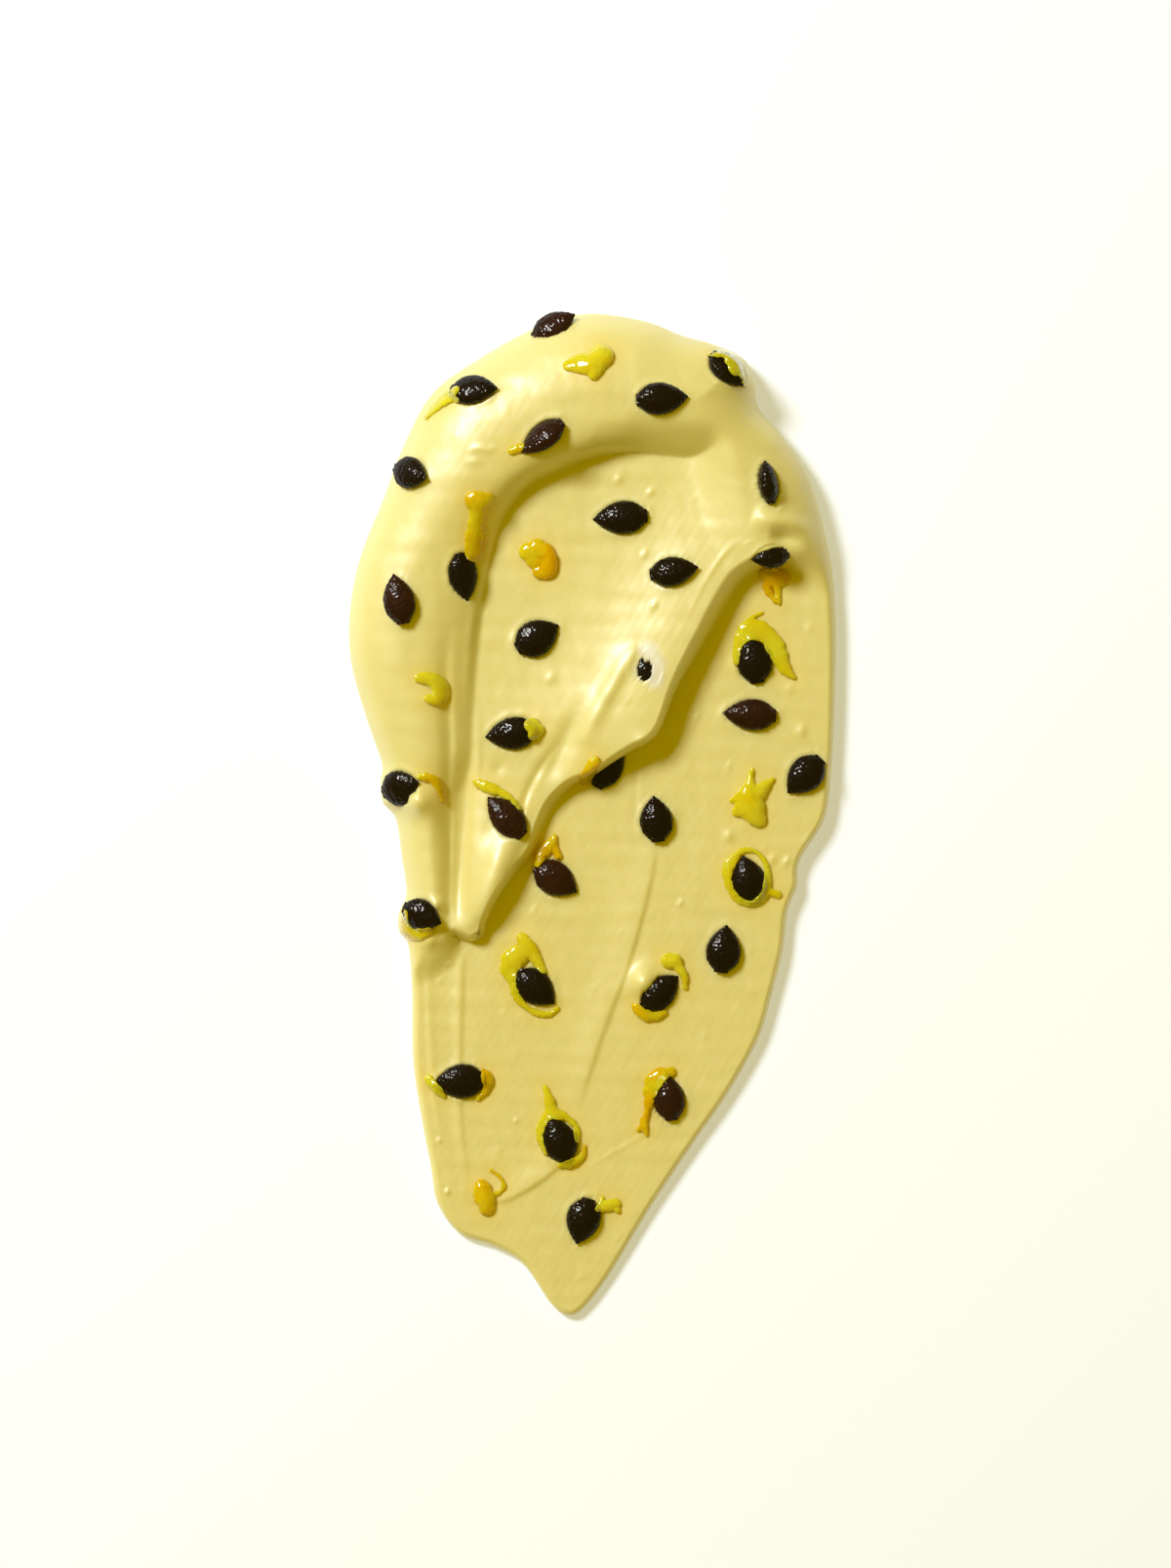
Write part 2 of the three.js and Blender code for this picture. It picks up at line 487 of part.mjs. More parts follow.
function seedSolid([x, y, degrees, length, width, roll, lift, on], grow) {
  const profile = SEED_PROFILE.map(
    ([share, out]) => new THREE.Vector2(out * (width / 2 + grow), share * (length + 2 * grow)),
  );
  const geometry = new THREE.LatheGeometry(profile, SEED_SIDES);
  geometry.scale(1, 1, (SEED_THICKNESS + 2 * grow) / (width + 2 * grow));
  return solid(geometry.applyMatrix4(layDown(x, y, degrees, roll, lift, on)));
}

function pulpSolid([on, ...lumps], grow) {
  const balls = lumps.map(([x, y, halfLength, halfWidth, degrees, halfHeight]) => {
    const ball = new THREE.SphereGeometry(1, PULP_SIDES, PULP_RINGS);
    ball.scale(halfWidth + grow, halfLength + grow, halfHeight + grow);
    return solid(ball.applyMatrix4(layDown(x, y, degrees, 0, PULP_LIFT * halfHeight, on)));
  });
  return wasm.Manifold.union(balls);
}

const creamMaterial = new THREE.MeshStandardMaterial({ color: CREAM_COLOUR, roughness: 0.4, metalness: 0 });
const seedMaterial = new THREE.MeshStandardMaterial({ color: SEED_COLOUR, roughness: 0.35, metalness: 0 });
const pulpMaterial = new THREE.MeshStandardMaterial({ color: PULP_COLOUR, roughness: 0.1, metalness: 0 });

const smear = new THREE.Group();
const label = (word, index) => `${word}_${String(index + 1).padStart(2, "0")}`;

const seedSockets = SEEDS.map((row) => seedSolid(row, CLEARANCE));
const pulpSockets = PULP.map((row) => pulpSolid(row, CLEARANCE));
const cream = solid(creamGeometry()).subtract(wasm.Manifold.union([...seedSockets, ...pulpSockets]));
smear.add(meshOf("cream", largest(cream), creamMaterial));
SEEDS.forEach((row, i) => smear.add(meshOf(label("seed", i), seedSolid(row, 0), seedMaterial)));
PULP.forEach((row, i) => {
  const trimmed = pulpSolid(row, 0).subtract(wasm.Manifold.union(seedSockets));
  smear.add(meshOf(label("pulp", i), largest(trimmed), pulpMaterial));
});

export default smear;
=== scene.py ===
import math

import bmesh
import bpy
import numpy as np
from mathutils import Matrix, Vector
from mathutils.bvhtree import BVHTree


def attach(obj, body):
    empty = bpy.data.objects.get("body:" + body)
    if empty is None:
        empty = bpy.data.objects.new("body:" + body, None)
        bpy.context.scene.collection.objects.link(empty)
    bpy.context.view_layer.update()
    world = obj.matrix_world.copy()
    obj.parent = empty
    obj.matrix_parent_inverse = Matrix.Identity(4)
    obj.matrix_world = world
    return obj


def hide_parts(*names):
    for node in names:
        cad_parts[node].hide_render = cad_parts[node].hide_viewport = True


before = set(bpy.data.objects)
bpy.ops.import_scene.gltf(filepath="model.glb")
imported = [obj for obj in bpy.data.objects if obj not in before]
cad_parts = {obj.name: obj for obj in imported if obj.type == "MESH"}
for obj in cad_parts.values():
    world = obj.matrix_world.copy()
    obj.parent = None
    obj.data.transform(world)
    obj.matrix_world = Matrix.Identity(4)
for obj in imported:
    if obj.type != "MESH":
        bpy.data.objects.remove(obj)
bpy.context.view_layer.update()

# Lengths are in millimetres, as in the solids, and each piece is made in metres
METRES = 0.001
RANDOM_SEED = 7
rng = np.random.default_rng(RANDOM_SEED)

# The thin sheet's thickness, and how far the shelf that the spoon left stands above it
SHEET_AT_ORIGIN = 2.4
SHEET_SLOPE = 0.02
SHELF_RISE_HEAD = 1.7
SHELF_RISE_TAIL = 0.6
SHELF_FADES_FROM = 12
SHELF_FADES_TO = -18

# The rounded edge reaches inward by a share of the thickness past a start, and by no less than the least
EDGE_REACH_LEAST = 0.7
EDGE_REACH_GROWS = 1.25
EDGE_REACH_FROM = 2

# The edge line lies at a share of the thickness, and the skirt below it curls under by a share of its height
EDGE_LINE = 0.22
EDGE_UNDERCUT = 0.4
EDGE_ROWS = 5

# How far the fold's crest lifts the shelf, and the lip that leans out over the sheet, but not by the outline.
# The reach outward is a share of the wall's width.
CREST_REACH = 8
LIP_REACH_IN = 1.4
LIP_REACH_OUT = 0.35
STILL_EDGE = 3

# The curve of the rim's wall where it ends abruptly at its foot
ABRUPT_POWER = 5

# Distances from the outline at which the fine marks start and are whole
MARKS_START = 0.2
MARKS_WHOLE = 1.5

# Cells of the cream's mesh, and how much denser it is by the edge and the fold, over what reach
CELLS_ACROSS = 190
CELLS_ON_SHELF = 190
CELLS_ON_SHEET = 240
EDGE_DENSITY = 2.0
FOLD_DENSITY = 3.0
DENSE_REACH = 1.8
DENSITY_SAMPLES = 800

# The cells are evened out in rounds, from not at all to fully between two distances from outline and fold
EVENING_ROUNDS = 80
EVEN_FROM = 0.8
EVEN_TO = 2.2

# Steps in each span of a smooth line, and how many places are compared with a line at once
LINE_STEPS = 8
PLACES_AT_ONCE = 4000

# A seed's mesh and the teeth of its nib, with the reach as a share of the length
SEED_RINGS = 72
SEED_SIDES = 56
NIB_TEETH = 6
NIB_DEPTH = 0.26
NIB_REACH = 0.08
BROWN_SEEDS = {"seed_01", "seed_05", "seed_10", "seed_16", "seed_20", "seed_23", "seed_30"}

# A seed's pits, in staggered rows with some scatter. They start behind the nib and grow to their full depth.
PIT_ROWS = 13
PIT_COLUMNS = 15
PIT_FIRST_ROW = 0.7
PIT_SPARE_ROWS = 0.6
PIT_SCATTER = 0.3
PIT_DEPTH = 0.115
PIT_SIZE = 0.17
PITS_START = 0.07
PITS_GROW = 0.06

# The socket in the cream under a seed, which fades out where the seed is thin over it
SOCKET_GAP = 0.1
SOCKET_CHORD_LEAST = 0.5
SOCKET_CHORD_MOST = 1.2
PRESS_FROM = 50

# The collar of cream that climbs a seed's sides, uneven by a wave round the seed
COLLAR_HEIGHT = 0.2
COLLAR_WIDTH = 0.55
COLLAR_MARGIN = 2
COLLAR_WAVE = 0.3
COLLAR_WAVES = 2.3
COLLAR_TURN = 5

# Pulp: beads along its strokes melted into one skin, which is then laid over what is under it
BEAD_STEP = 0.22
BEAD_UNEVEN = 0.22
BEAD_DETAIL = 2
VOXEL = 0.11
SOFTENING_ROUNDS = 4
PULP_LIFT = 0.35
PULP_GROWTH = 0.04
PULP_NOISE = 0.07
PULP_NOISE_SIZE = 0.3
PULP_WAVES = 12
DRAPE_REACH = 0.25
DRAPE_RAYS = [(0, 0), (1, 0), (-1, 0), (0, 1), (0, -1)]
DRAPE_FROM = 30.0
AMBER_PULP = {
    "pulp_04", "pulp_05", "pulp_06", "pulp_09", "pulp_13", "pulp_14", "pulp_16", "pulp_18", "pulp_21",
    "pulp_22", "pulp_24", "pulp_26", "pulp_27",
}

# How far the juice tints the cream, and how strongly, and how sharply a whitish film ends
JUICE_REACH = 1.1
JUICE_MOST = 0.28
FILM_POWER = 4

# Looks: what the shader's own sockets hold, the two colours that a noise mixes, and the textures
CREAM_SOCKETS = {
    "Roughness": 0.6, "Specular IOR Level": 0.9, "Coat Weight": 0.7, "Coat Roughness": 0.38, "Coat IOR": 1.85,
    "Subsurface Weight": 0.35, "Subsurface Radius": (1.0, 0.75, 0.22), "Subsurface Scale": 0.0016,
}
CREAM_COLOURS = ((0.775, 0.705, 0.25), (0.812, 0.75, 0.3))
CREAM_CLOUDS = {"Scale": 90.0, "Detail": 3.0}
CREAM_GRAIN = {"Scale": 900.0, "Detail": 2.0}
CREAM_BUMP = {"Strength": 0.12, "Distance": 0.0001}
JUICE_COLOUR = (0.86, 0.62, 0.04)
FILM_COLOUR = (0.78, 0.76, 0.62)
SEED_SOCKETS = {"Roughness": 0.5, "Specular IOR Level": 0.05, "Coat Weight": 0.45, "Coat Roughness": 0.1}
BLACK_COLOURS = ((0.0015, 0.0006, 0.0004), (0.01, 0.003, 0.002))
BROWN_COLOURS = ((0.008, 0.002, 0.001), (0.036, 0.009, 0.005))
SEED_CLOUDS = {"Scale": 700.0, "Detail": 4.0}
SEED_CELLS = {"Scale": 2600.0}
SEED_BUMP = {"Strength": 0.3, "Distance": 0.00009}
PULP_SOCKETS = {
    "Roughness": 0.08, "Coat Weight": 0.5, "Coat Roughness": 0.03, "Transmission Weight": 0.4, "IOR": 1.38,
    "Subsurface Weight": 0.5, "Subsurface Radius": (1.0, 0.7, 0.05), "Subsurface Scale": 0.001,
}
YELLOW_COLOURS = ((0.98, 0.9, 0.045), (0.96, 0.79, 0.01))
AMBER_COLOURS = ((0.97, 0.83, 0.02), (0.94, 0.56, 0.0))
PULP_CLOUDS = {"Scale": 300.0, "Detail": 3.0}
PULP_CONTRAST = {"From Min": 0.35, "From Max": 0.65}
PULP_GRAIN = {"Scale": 1500.0, "Detail": 2.0}
PULP_BUMP = {"Strength": 0.35, "Distance": 0.0001}
FLOOR_SOCKETS = {"Base Color": (0.74, 0.82, 0.99, 1), "Roughness": 0.7, "Emission Strength": 0.32}

# The colour sockets of a mix node, which share their names with its number and vector sockets
FIRST_COLOUR = 6
SECOND_COLOUR = 7
MIXED_COLOUR = 2

# The camera looks straight down, so far off that the view is nearly parallel
VIEW_CENTRE = (-0.8, 3.4)
VIEW_HEIGHT = 171.0
CAMERA_DISTANCE = 900.0
CAMERA_SEES_TO = 10000.0
SENSOR = 36.0
SUBJECT_HEIGHT = 4.0

# One key light from the upper left, in metres and watts, warm light from all round, and the floor
KEY_PLACE = (-0.43, 0.41, 0.6)
KEY_SIZE = 0.2
KEY_WATTS = 6.3
ROUND_LIGHT = (1, 0.74, 0.0, 1)
ROUND_STRENGTH = 0.37
FLOOR_SIZE = 3.0
FLOOR_DROP = 0.05

# The outline from the top of the head, clockwise seen from above: [x, y]
OUTLINE = [
    [-0.8, 54.8], [5.6, 54], [9.8, 52.4], [13, 51.5], [16.4, 49.9], [17.6, 47.4], [18.2, 44.4],
    [21.1, 41], [23.7, 36.8], [25.3, 31.2], [26.2, 26.6], [26.6, 20.8], [26.5, 12.8], [26.1, 4.8],
    [25.4, -0.3], [23, -4.3], [22.4, -6.1], [22.4, -7.7], [21.3, -10.6], [20.8, -14.8], [19.6, -19.6],
    [18.2, -24.3], [14.9, -30.3], [11.1, -35.8], [6.3, -43], [1.9, -50.2], [-0.8, -53.8], [-2.6, -54.8],
    [-4.6, -53.5], [-7.6, -49.2], [-10.9, -47.2], [-14.6, -45.8], [-17, -42.5], [-17.8, -38.2],
    [-18.9, -32.4], [-19.7, -26.5], [-19.8, -19.6], [-20.2, -14.3], [-21.2, -12.7], [-21.2, -10.6],
    [-20.4, -8.6], [-20.9, -4.7], [-21.6, -0.3], [-23, 1.4], [-23.2, 4], [-23.1, 5.7], [-24.8, 10.7],
    [-26.4, 16.5], [-26.6, 21.9], [-25.5, 28], [-22.9, 34.6], [-20.8, 40.1], [-17.6, 46], [-12.7, 49.7],
    [-6.6, 53.1],
]

# The outline's points that are corners of the surface's two fields
HEAD_RIGHT = 5
FOLD_RIGHT = 9
TAIL_RIGHT = 27
TAIL_LEFT = 31
FOLD_LEFT = 37
HEAD_LEFT = 52

# The thick rim, from the right flank over the head and down the left side.
# [x, y, rise above the shelf, flat width inward, wall width inward, how abrupt the wall's foot is]
RIM = [
    [20.5, 24.5, 0, 0.3, 4, 0], [18.8, 29.3, 0.9, 0.3, 5, 0], [17.3, 33.6, 1.4, 0.4, 5.5, 0],
    [16.2, 37.8, 2, 0.5, 5.5, 0], [15.5, 42.1, 2.8, 0.8, 5, 0.1], [13.6, 45.5, 3.3, 2.5, 4.5, 0.3],
    [9.8, 47.6, 3.6, 4.3, 4.2, 0.4], [4.5, 48.5, 3.9, 5, 4, 0.5], [-0.8, 48, 4.1, 5.2, 3.8, 0.7],
    [-6.6, 46.3, 4.2, 4.6, 4.6, 0.95], [-11.4, 43.7, 4.1, 3.8, 5.2, 1], [-15.2, 39.9, 3.8, 3, 5.8, 0.95],
    [-17.8, 35.2, 3.4, 2.2, 6.4, 0.8], [-19.4, 29.3, 3, 1.8, 6.6, 0.6],
    [-20.2, 22.9, 2.8, 1.8, 6.4, 0.55], [-20.5, 16.5, 2.6, 1.8, 6, 0.45],
    [-19.7, 11.2, 2.4, 1.6, 5, 0.35], [-18.5, 6.4, 1.9, 1.2, 4, 0.25], [-18.2, 3.2, 1, 1, 3, 0],
    [-18, -1, 0, 1, 3, 0], [-18, -6, 0, 1, 3, 0], [-18.6, -14, 0, 1, 3, 0],
]

# The fold where the shelf ends above the sheet, from the outline on the left to the outline on the right.
# [x, y, wall width, crest above the shelf, how far the lip leans out over the sheet]
FOLD = [
    [-20.2, -14.3, 5, 0, 0], [-17.4, -14.2, 3.5, 0, 0], [-15.6, -12.2, 1.8, 0.2, 0.1],
    [-14.1, -12.3, 1.4, 0.7, 0.3], [-13, -12.5, 1.2, 1, 0.5], [-12.8, -10.9, 1.2, 1.2, 0.7],
    [-11.4, -8.1, 1.2, 1.3, 0.7], [-9.2, -5.4, 1.2, 1.2, 0.5], [-7.4, -3.4, 1.3, 0.9, 0.2],
    [-6.5, -0.8, 1.4, 0.6, 0.1], [-5.2, 1.9, 1.5, 0.5, 0.1], [-3, 4.2, 1.4, 0.7, 0.3],
    [-0.6, 5.5, 1.2, 1.1, 0.7], [1.6, 7.3, 1.2, 1.6, 1], [3.7, 8.7, 1.2, 2.1, 1.1],
    [5.5, 9.7, 1.2, 2.3, 1.1], [6.4, 11.6, 1.2, 2.4, 1.1], [7.4, 14, 1.4, 2.4, 0.9],
    [9.1, 17, 1.8, 2.3, 0.5], [11, 20.5, 2.1, 2.1, 0.4], [12.9, 24, 2.2, 1.8, 0.3],
    [14.8, 26.8, 2.2, 1.5, 0.3], [17.3, 28.4, 2.2, 1.2, 0.2], [20.2, 29.4, 3, 0.7, 0],
    [22.6, 30.2, 6, 0.3, 0], [25.3, 31.2, 9, 0, 0],
]

# Soft ridges and, with a negative rise, troughs: [x, y, rise, width on the left, width on the right]
RIDGES = {
    "column": [
        [-18.4, 3.4, 0, 2.2, 2.2], [-18.2, 0.4, 1.1, 2, 2.2], [-18.1, -5, 1.2, 1.9, 2.2],
        [-17.9, -10.5, 1, 1.9, 2], [-17.6, -14.5, 0, 1.9, 2],
    ],
    "valley": [
        [-14.3, 7, 0, 1.3, 1.3], [-14.5, 2, -0.6, 1.3, 1.3], [-14.8, -3, -0.9, 1.3, 1.2],
        [-14.9, -8, -0.9, 1.2, 1], [-14.9, -12, 0, 1, 1],
    ],
    "tongue": [
        [-8.2, -0.6, 0, 1.4, 1.6], [-9.8, -3.6, 0.6, 1.3, 1.6], [-10.9, -6.2, 0.9, 1.1, 1.4],
        [-12.2, -9, 0.8, 1, 1.2], [-13.3, -11.6, 0.3, 1, 1],
    ],
    "swell": [
        [4.6, 18.6, 0, 0.9, 1.1], [3.6, 16.8, 0.4, 0.8, 1.1], [1.7, 13.4, 0.5, 0.8, 1.1],
        [-0.2, 9.9, 0.4, 1, 1.2], [-1, 7.4, 0, 1.2, 1.2],
    ],
    "trough": [
        [-0.9, 12.2, 0, 1.1, 1.1], [-2.6, 9, -0.5, 1.1, 1.1], [-4, 5.8, -0.5, 1.1, 1.1],
        [-5.6, 3.4, 0, 1, 1],
    ],
    "hook": [
        [21.2, 29.4, 0, 1, 1], [21.9, 27.2, 0.9, 1, 1], [21.2, 25.2, 0.8, 1, 1], [20.1, 23.4, 0, 1, 1],
    ],
    "hump": [
        [17.2, 32.6, 0, 1.1, 1.1], [19, 32.2, 0.6, 1.1, 1.1], [21.3, 31.9, 0.9, 1, 1],
        [23, 31, 0.7, 1, 1], [24, 29.2, 0, 1, 1],
    ],
    "hollow": [
        [19.2, 30.4, 0, 1, 1], [20.6, 30.2, -0.9, 1, 1], [22, 29.7, -0.7, 1, 1], [22.9, 28.8, 0, 1, 1],
    ],
}

# A seed's half profile from the nib at its broad end to its point:
# [share of the length, share of the half width, share of the half thickness]
SEED_PROFILE = [
    [0, 0.05, 0.05], [0.004, 0.28, 0.3], [0.03, 0.36, 0.4], [0.055, 0.35, 0.4], [0.075, 0.47, 0.5],
    [0.13, 0.68, 0.7], [0.24, 0.91, 0.9], [0.4, 1, 1], [0.54, 0.97, 0.98], [0.68, 0.82, 0.86],
    [0.8, 0.6, 0.68], [0.9, 0.35, 0.45], [0.97, 0.13, 0.2], [1, 0.02, 0.03],
]

# Fine marks that the spoon left on the surface: [x, y, rise, width on the left, width on the right]
MARKS = {
    "long step": [
        [6.9, -2.5, 0, 0.3, 1.6], [6.2, -6.9, 0.2, 0.3, 2], [4.9, -12.2, 0.26, 0.3, 2.4],
        [3.3, -17.5, 0.26, 0.3, 2.4], [1.3, -22.8, 0.24, 0.3, 2.4], [-0.5, -28.1, 0.2, 0.3, 2.2],
        [-1.8, -32.4, 0, 0.3, 1.6],
    ],
    "low step": [
        [-1.9, -36, 0, 0.3, 1.4], [-3.5, -38, 0.18, 0.3, 1.6], [-6.1, -40.1, 0.24, 0.3, 1.8],
        [-9.3, -41.9, 0.18, 0.3, 1.6], [-10.9, -42, 0, 0.3, 1.4],
    ],
    "facet by the tongue": [
        [-7.8, -1, 0, 0.9, 2], [-9.2, -4.2, 0.5, 0.9, 2], [-10.9, -7.7, 0.55, 0.8, 1.9],
        [-12.3, -10.8, 0.35, 0.7, 1.6], [-12.9, -12, 0, 0.7, 1.4],
    ],
    "sharp crease": [
        [-15.6, 2, 0, 0.25, 0.5], [-15.6, -1, -0.3, 0.25, 0.5], [-15.7, -6, -0.4, 0.25, 0.5],
        [-15.7, -11, -0.25, 0.25, 0.5], [-15.6, -13.5, 0, 0.25, 0.5],
    ],
    "dark valley": [
        [-13.2, 8, 0, 0.8, 0.9], [-13.3, 3, -0.35, 0.8, 0.9], [-13.8, -2, -0.5, 0.8, 0.8],
        [-14.3, -7, -0.35, 0.7, 0.8], [-14.6, -11, 0, 0.7, 0.8],
    ],
    "inner band": [
        [-14.2, -14.5, 0, 0.3, 0.7], [-14.4, -18, 0.18, 0.3, 0.7], [-14.6, -26, 0.16, 0.3, 0.7],
        [-14.5, -34, 0.12, 0.3, 0.7], [-13.6, -41, 0, 0.3, 0.7],
    ],
    "outer band": [
        [-18, -15, 0, 0.7, 0.3], [-18, -19, 0.1, 0.7, 0.3], [-17.6, -28, 0.1, 0.7, 0.3],
        [-16.4, -38, 0, 0.7, 0.3],
    ],
    "thread": [
        [6, -34.6, 0, 0.22, 0.22], [4, -35.9, 0.06, 0.22, 0.22], [1.6, -37.2, 0.05, 0.22, 0.22],
        [-1, -38.9, 0, 0.22, 0.22],
    ],
    "faint line": [
        [4.5, 6.6, 0, 0.3, 0.3], [4.7, 3, -0.08, 0.3, 0.3], [4.6, -2.6, 0, 0.3, 0.3],
    ],
    "left streak": [
        [-15.6, 21, 0, 0.4, 0.9], [-15.9, 15, -0.22, 0.4, 0.9], [-15.6, 8, -0.3, 0.4, 0.9],
        [-15.9, 2, -0.2, 0.4, 0.8], [-16.3, -4, 0, 0.4, 0.8],
    ],
    "middle streak": [
        [-12.6, 12, 0, 0.4, 0.6], [-12.5, 7, 0.14, 0.4, 0.6], [-13, 2, 0.2, 0.4, 0.6],
        [-13.4, -4, 0.14, 0.4, 0.6], [-13.6, -8, 0, 0.4, 0.6],
    ],
    "right streak": [
        [-3.6, 8, 0, 0.4, 0.5], [-5.6, 5.4, -0.18, 0.4, 0.5], [-7.3, 2, -0.2, 0.4, 0.5],
        [-8, -1.4, 0, 0.4, 0.5],
    ],
    "wrinkle by seed 5": [
        [-13.6, 39.6, 0, 0.3, 0.4], [-12.4, 39.9, 0.22, 0.3, 0.4], [-11.4, 39.7, 0.22, 0.3, 0.4],
        [-10.2, 39.8, 0, 0.3, 0.4],
    ],
    "second wrinkle": [
        [-14, 38.4, 0, 0.3, 0.4], [-12.8, 38.4, 0.16, 0.3, 0.4], [-11.8, 38, 0, 0.3, 0.4],
    ],
    "line along the wall": [
        [-11.7, 33.8, 0, 0.3, 0.4], [-11.4, 29, 0.12, 0.3, 0.4], [-13, 22, 0.14, 0.3, 0.4],
        [-13.6, 16, 0.1, 0.3, 0.4], [-13.6, 12, 0, 0.3, 0.4],
    ],
    "lip wrinkle": [
        [16.2, 30.2, 0, 0.3, 0.4], [14.4, 28.6, 0.09, 0.3, 0.4], [12.8, 26.4, 0.08, 0.3, 0.4],
        [11.4, 24, 0.05, 0.3, 0.4], [10, 21, 0, 0.3, 0.4],
    ],
}

# Small bumps and dimples: [x, y, rise, radius]
DOTS = [
    [14.8, -2.3, 0.22, 0.55], [19.6, -4.8, 0.2, 0.4], [21.2, -5.1, 0.25, 0.4], [-17.8, -13.8, 0.5, 0.8],
    [-10.3, 5.1, -0.2, 0.7], [-16.8, -35.6, 0.15, 0.3], [-15.9, -41.2, 0.2, 0.3], [6.6, 22.8, 0.25, 0.35],
    [2.8, 36.6, 0.2, 0.4], [6.3, 35.2, 0.2, 0.35], [-4.6, 14.9, 0.2, 0.5], [5.6, 28.4, 0.2, 0.3],
    [4.9, 8.9, 0.3, 0.6], [15.2, 23.6, 0.2, 0.35], [22.8, 9.2, 0.25, 0.5], [21.5, 13.8, 0.15, 0.4],
    [20.4, 33.4, 0.2, 0.4], [9.6, -9.6, 0.15, 0.3], [11.4, 10.8, 0.14, 0.3], [14.9, 5.4, 0.14, 0.3],
    [5.6, -18.2, 1.5, 1.5], [-19.2, 1.5, 1.4, 1.4], [-16.9, -9.7, 0.5, 0.7], [23.6, 20.4, 0.15, 0.3],
    [12.2, -24.2, 0.14, 0.25], [-8.4, -33.4, 0.14, 0.25], [-1.6, 37.2, 0.12, 0.3],
]

# More of them scattered at random: how many, where, their rise and the least share of it, and their radii
SCATTERED_DOTS = 170
SCATTER_LOW = (-26, -54)
SCATTER_HIGH = (26, 50)
SCATTERED_RISE = 0.09
SCATTERED_LEAST = -0.6
SCATTERED_RADII = (0.18, 0.4)

# Soft unevenness of the whole surface: [wavelength, rise], and how many waves make up each
UNEVEN = [[5.5, 0.1], [2.2, 0.045], [0.9, 0.016]]
SURFACE_WAVES = 14

# Places where the cream is a thin whitish film: [x, y, radius]
FILMS = [[6, 17.8, 1.2], [6.6, 16.3, 1.4], [6.8, 14.9, 1.1], [5.6, 15.8, 1.2], [-13, 24.2, 0.9]]

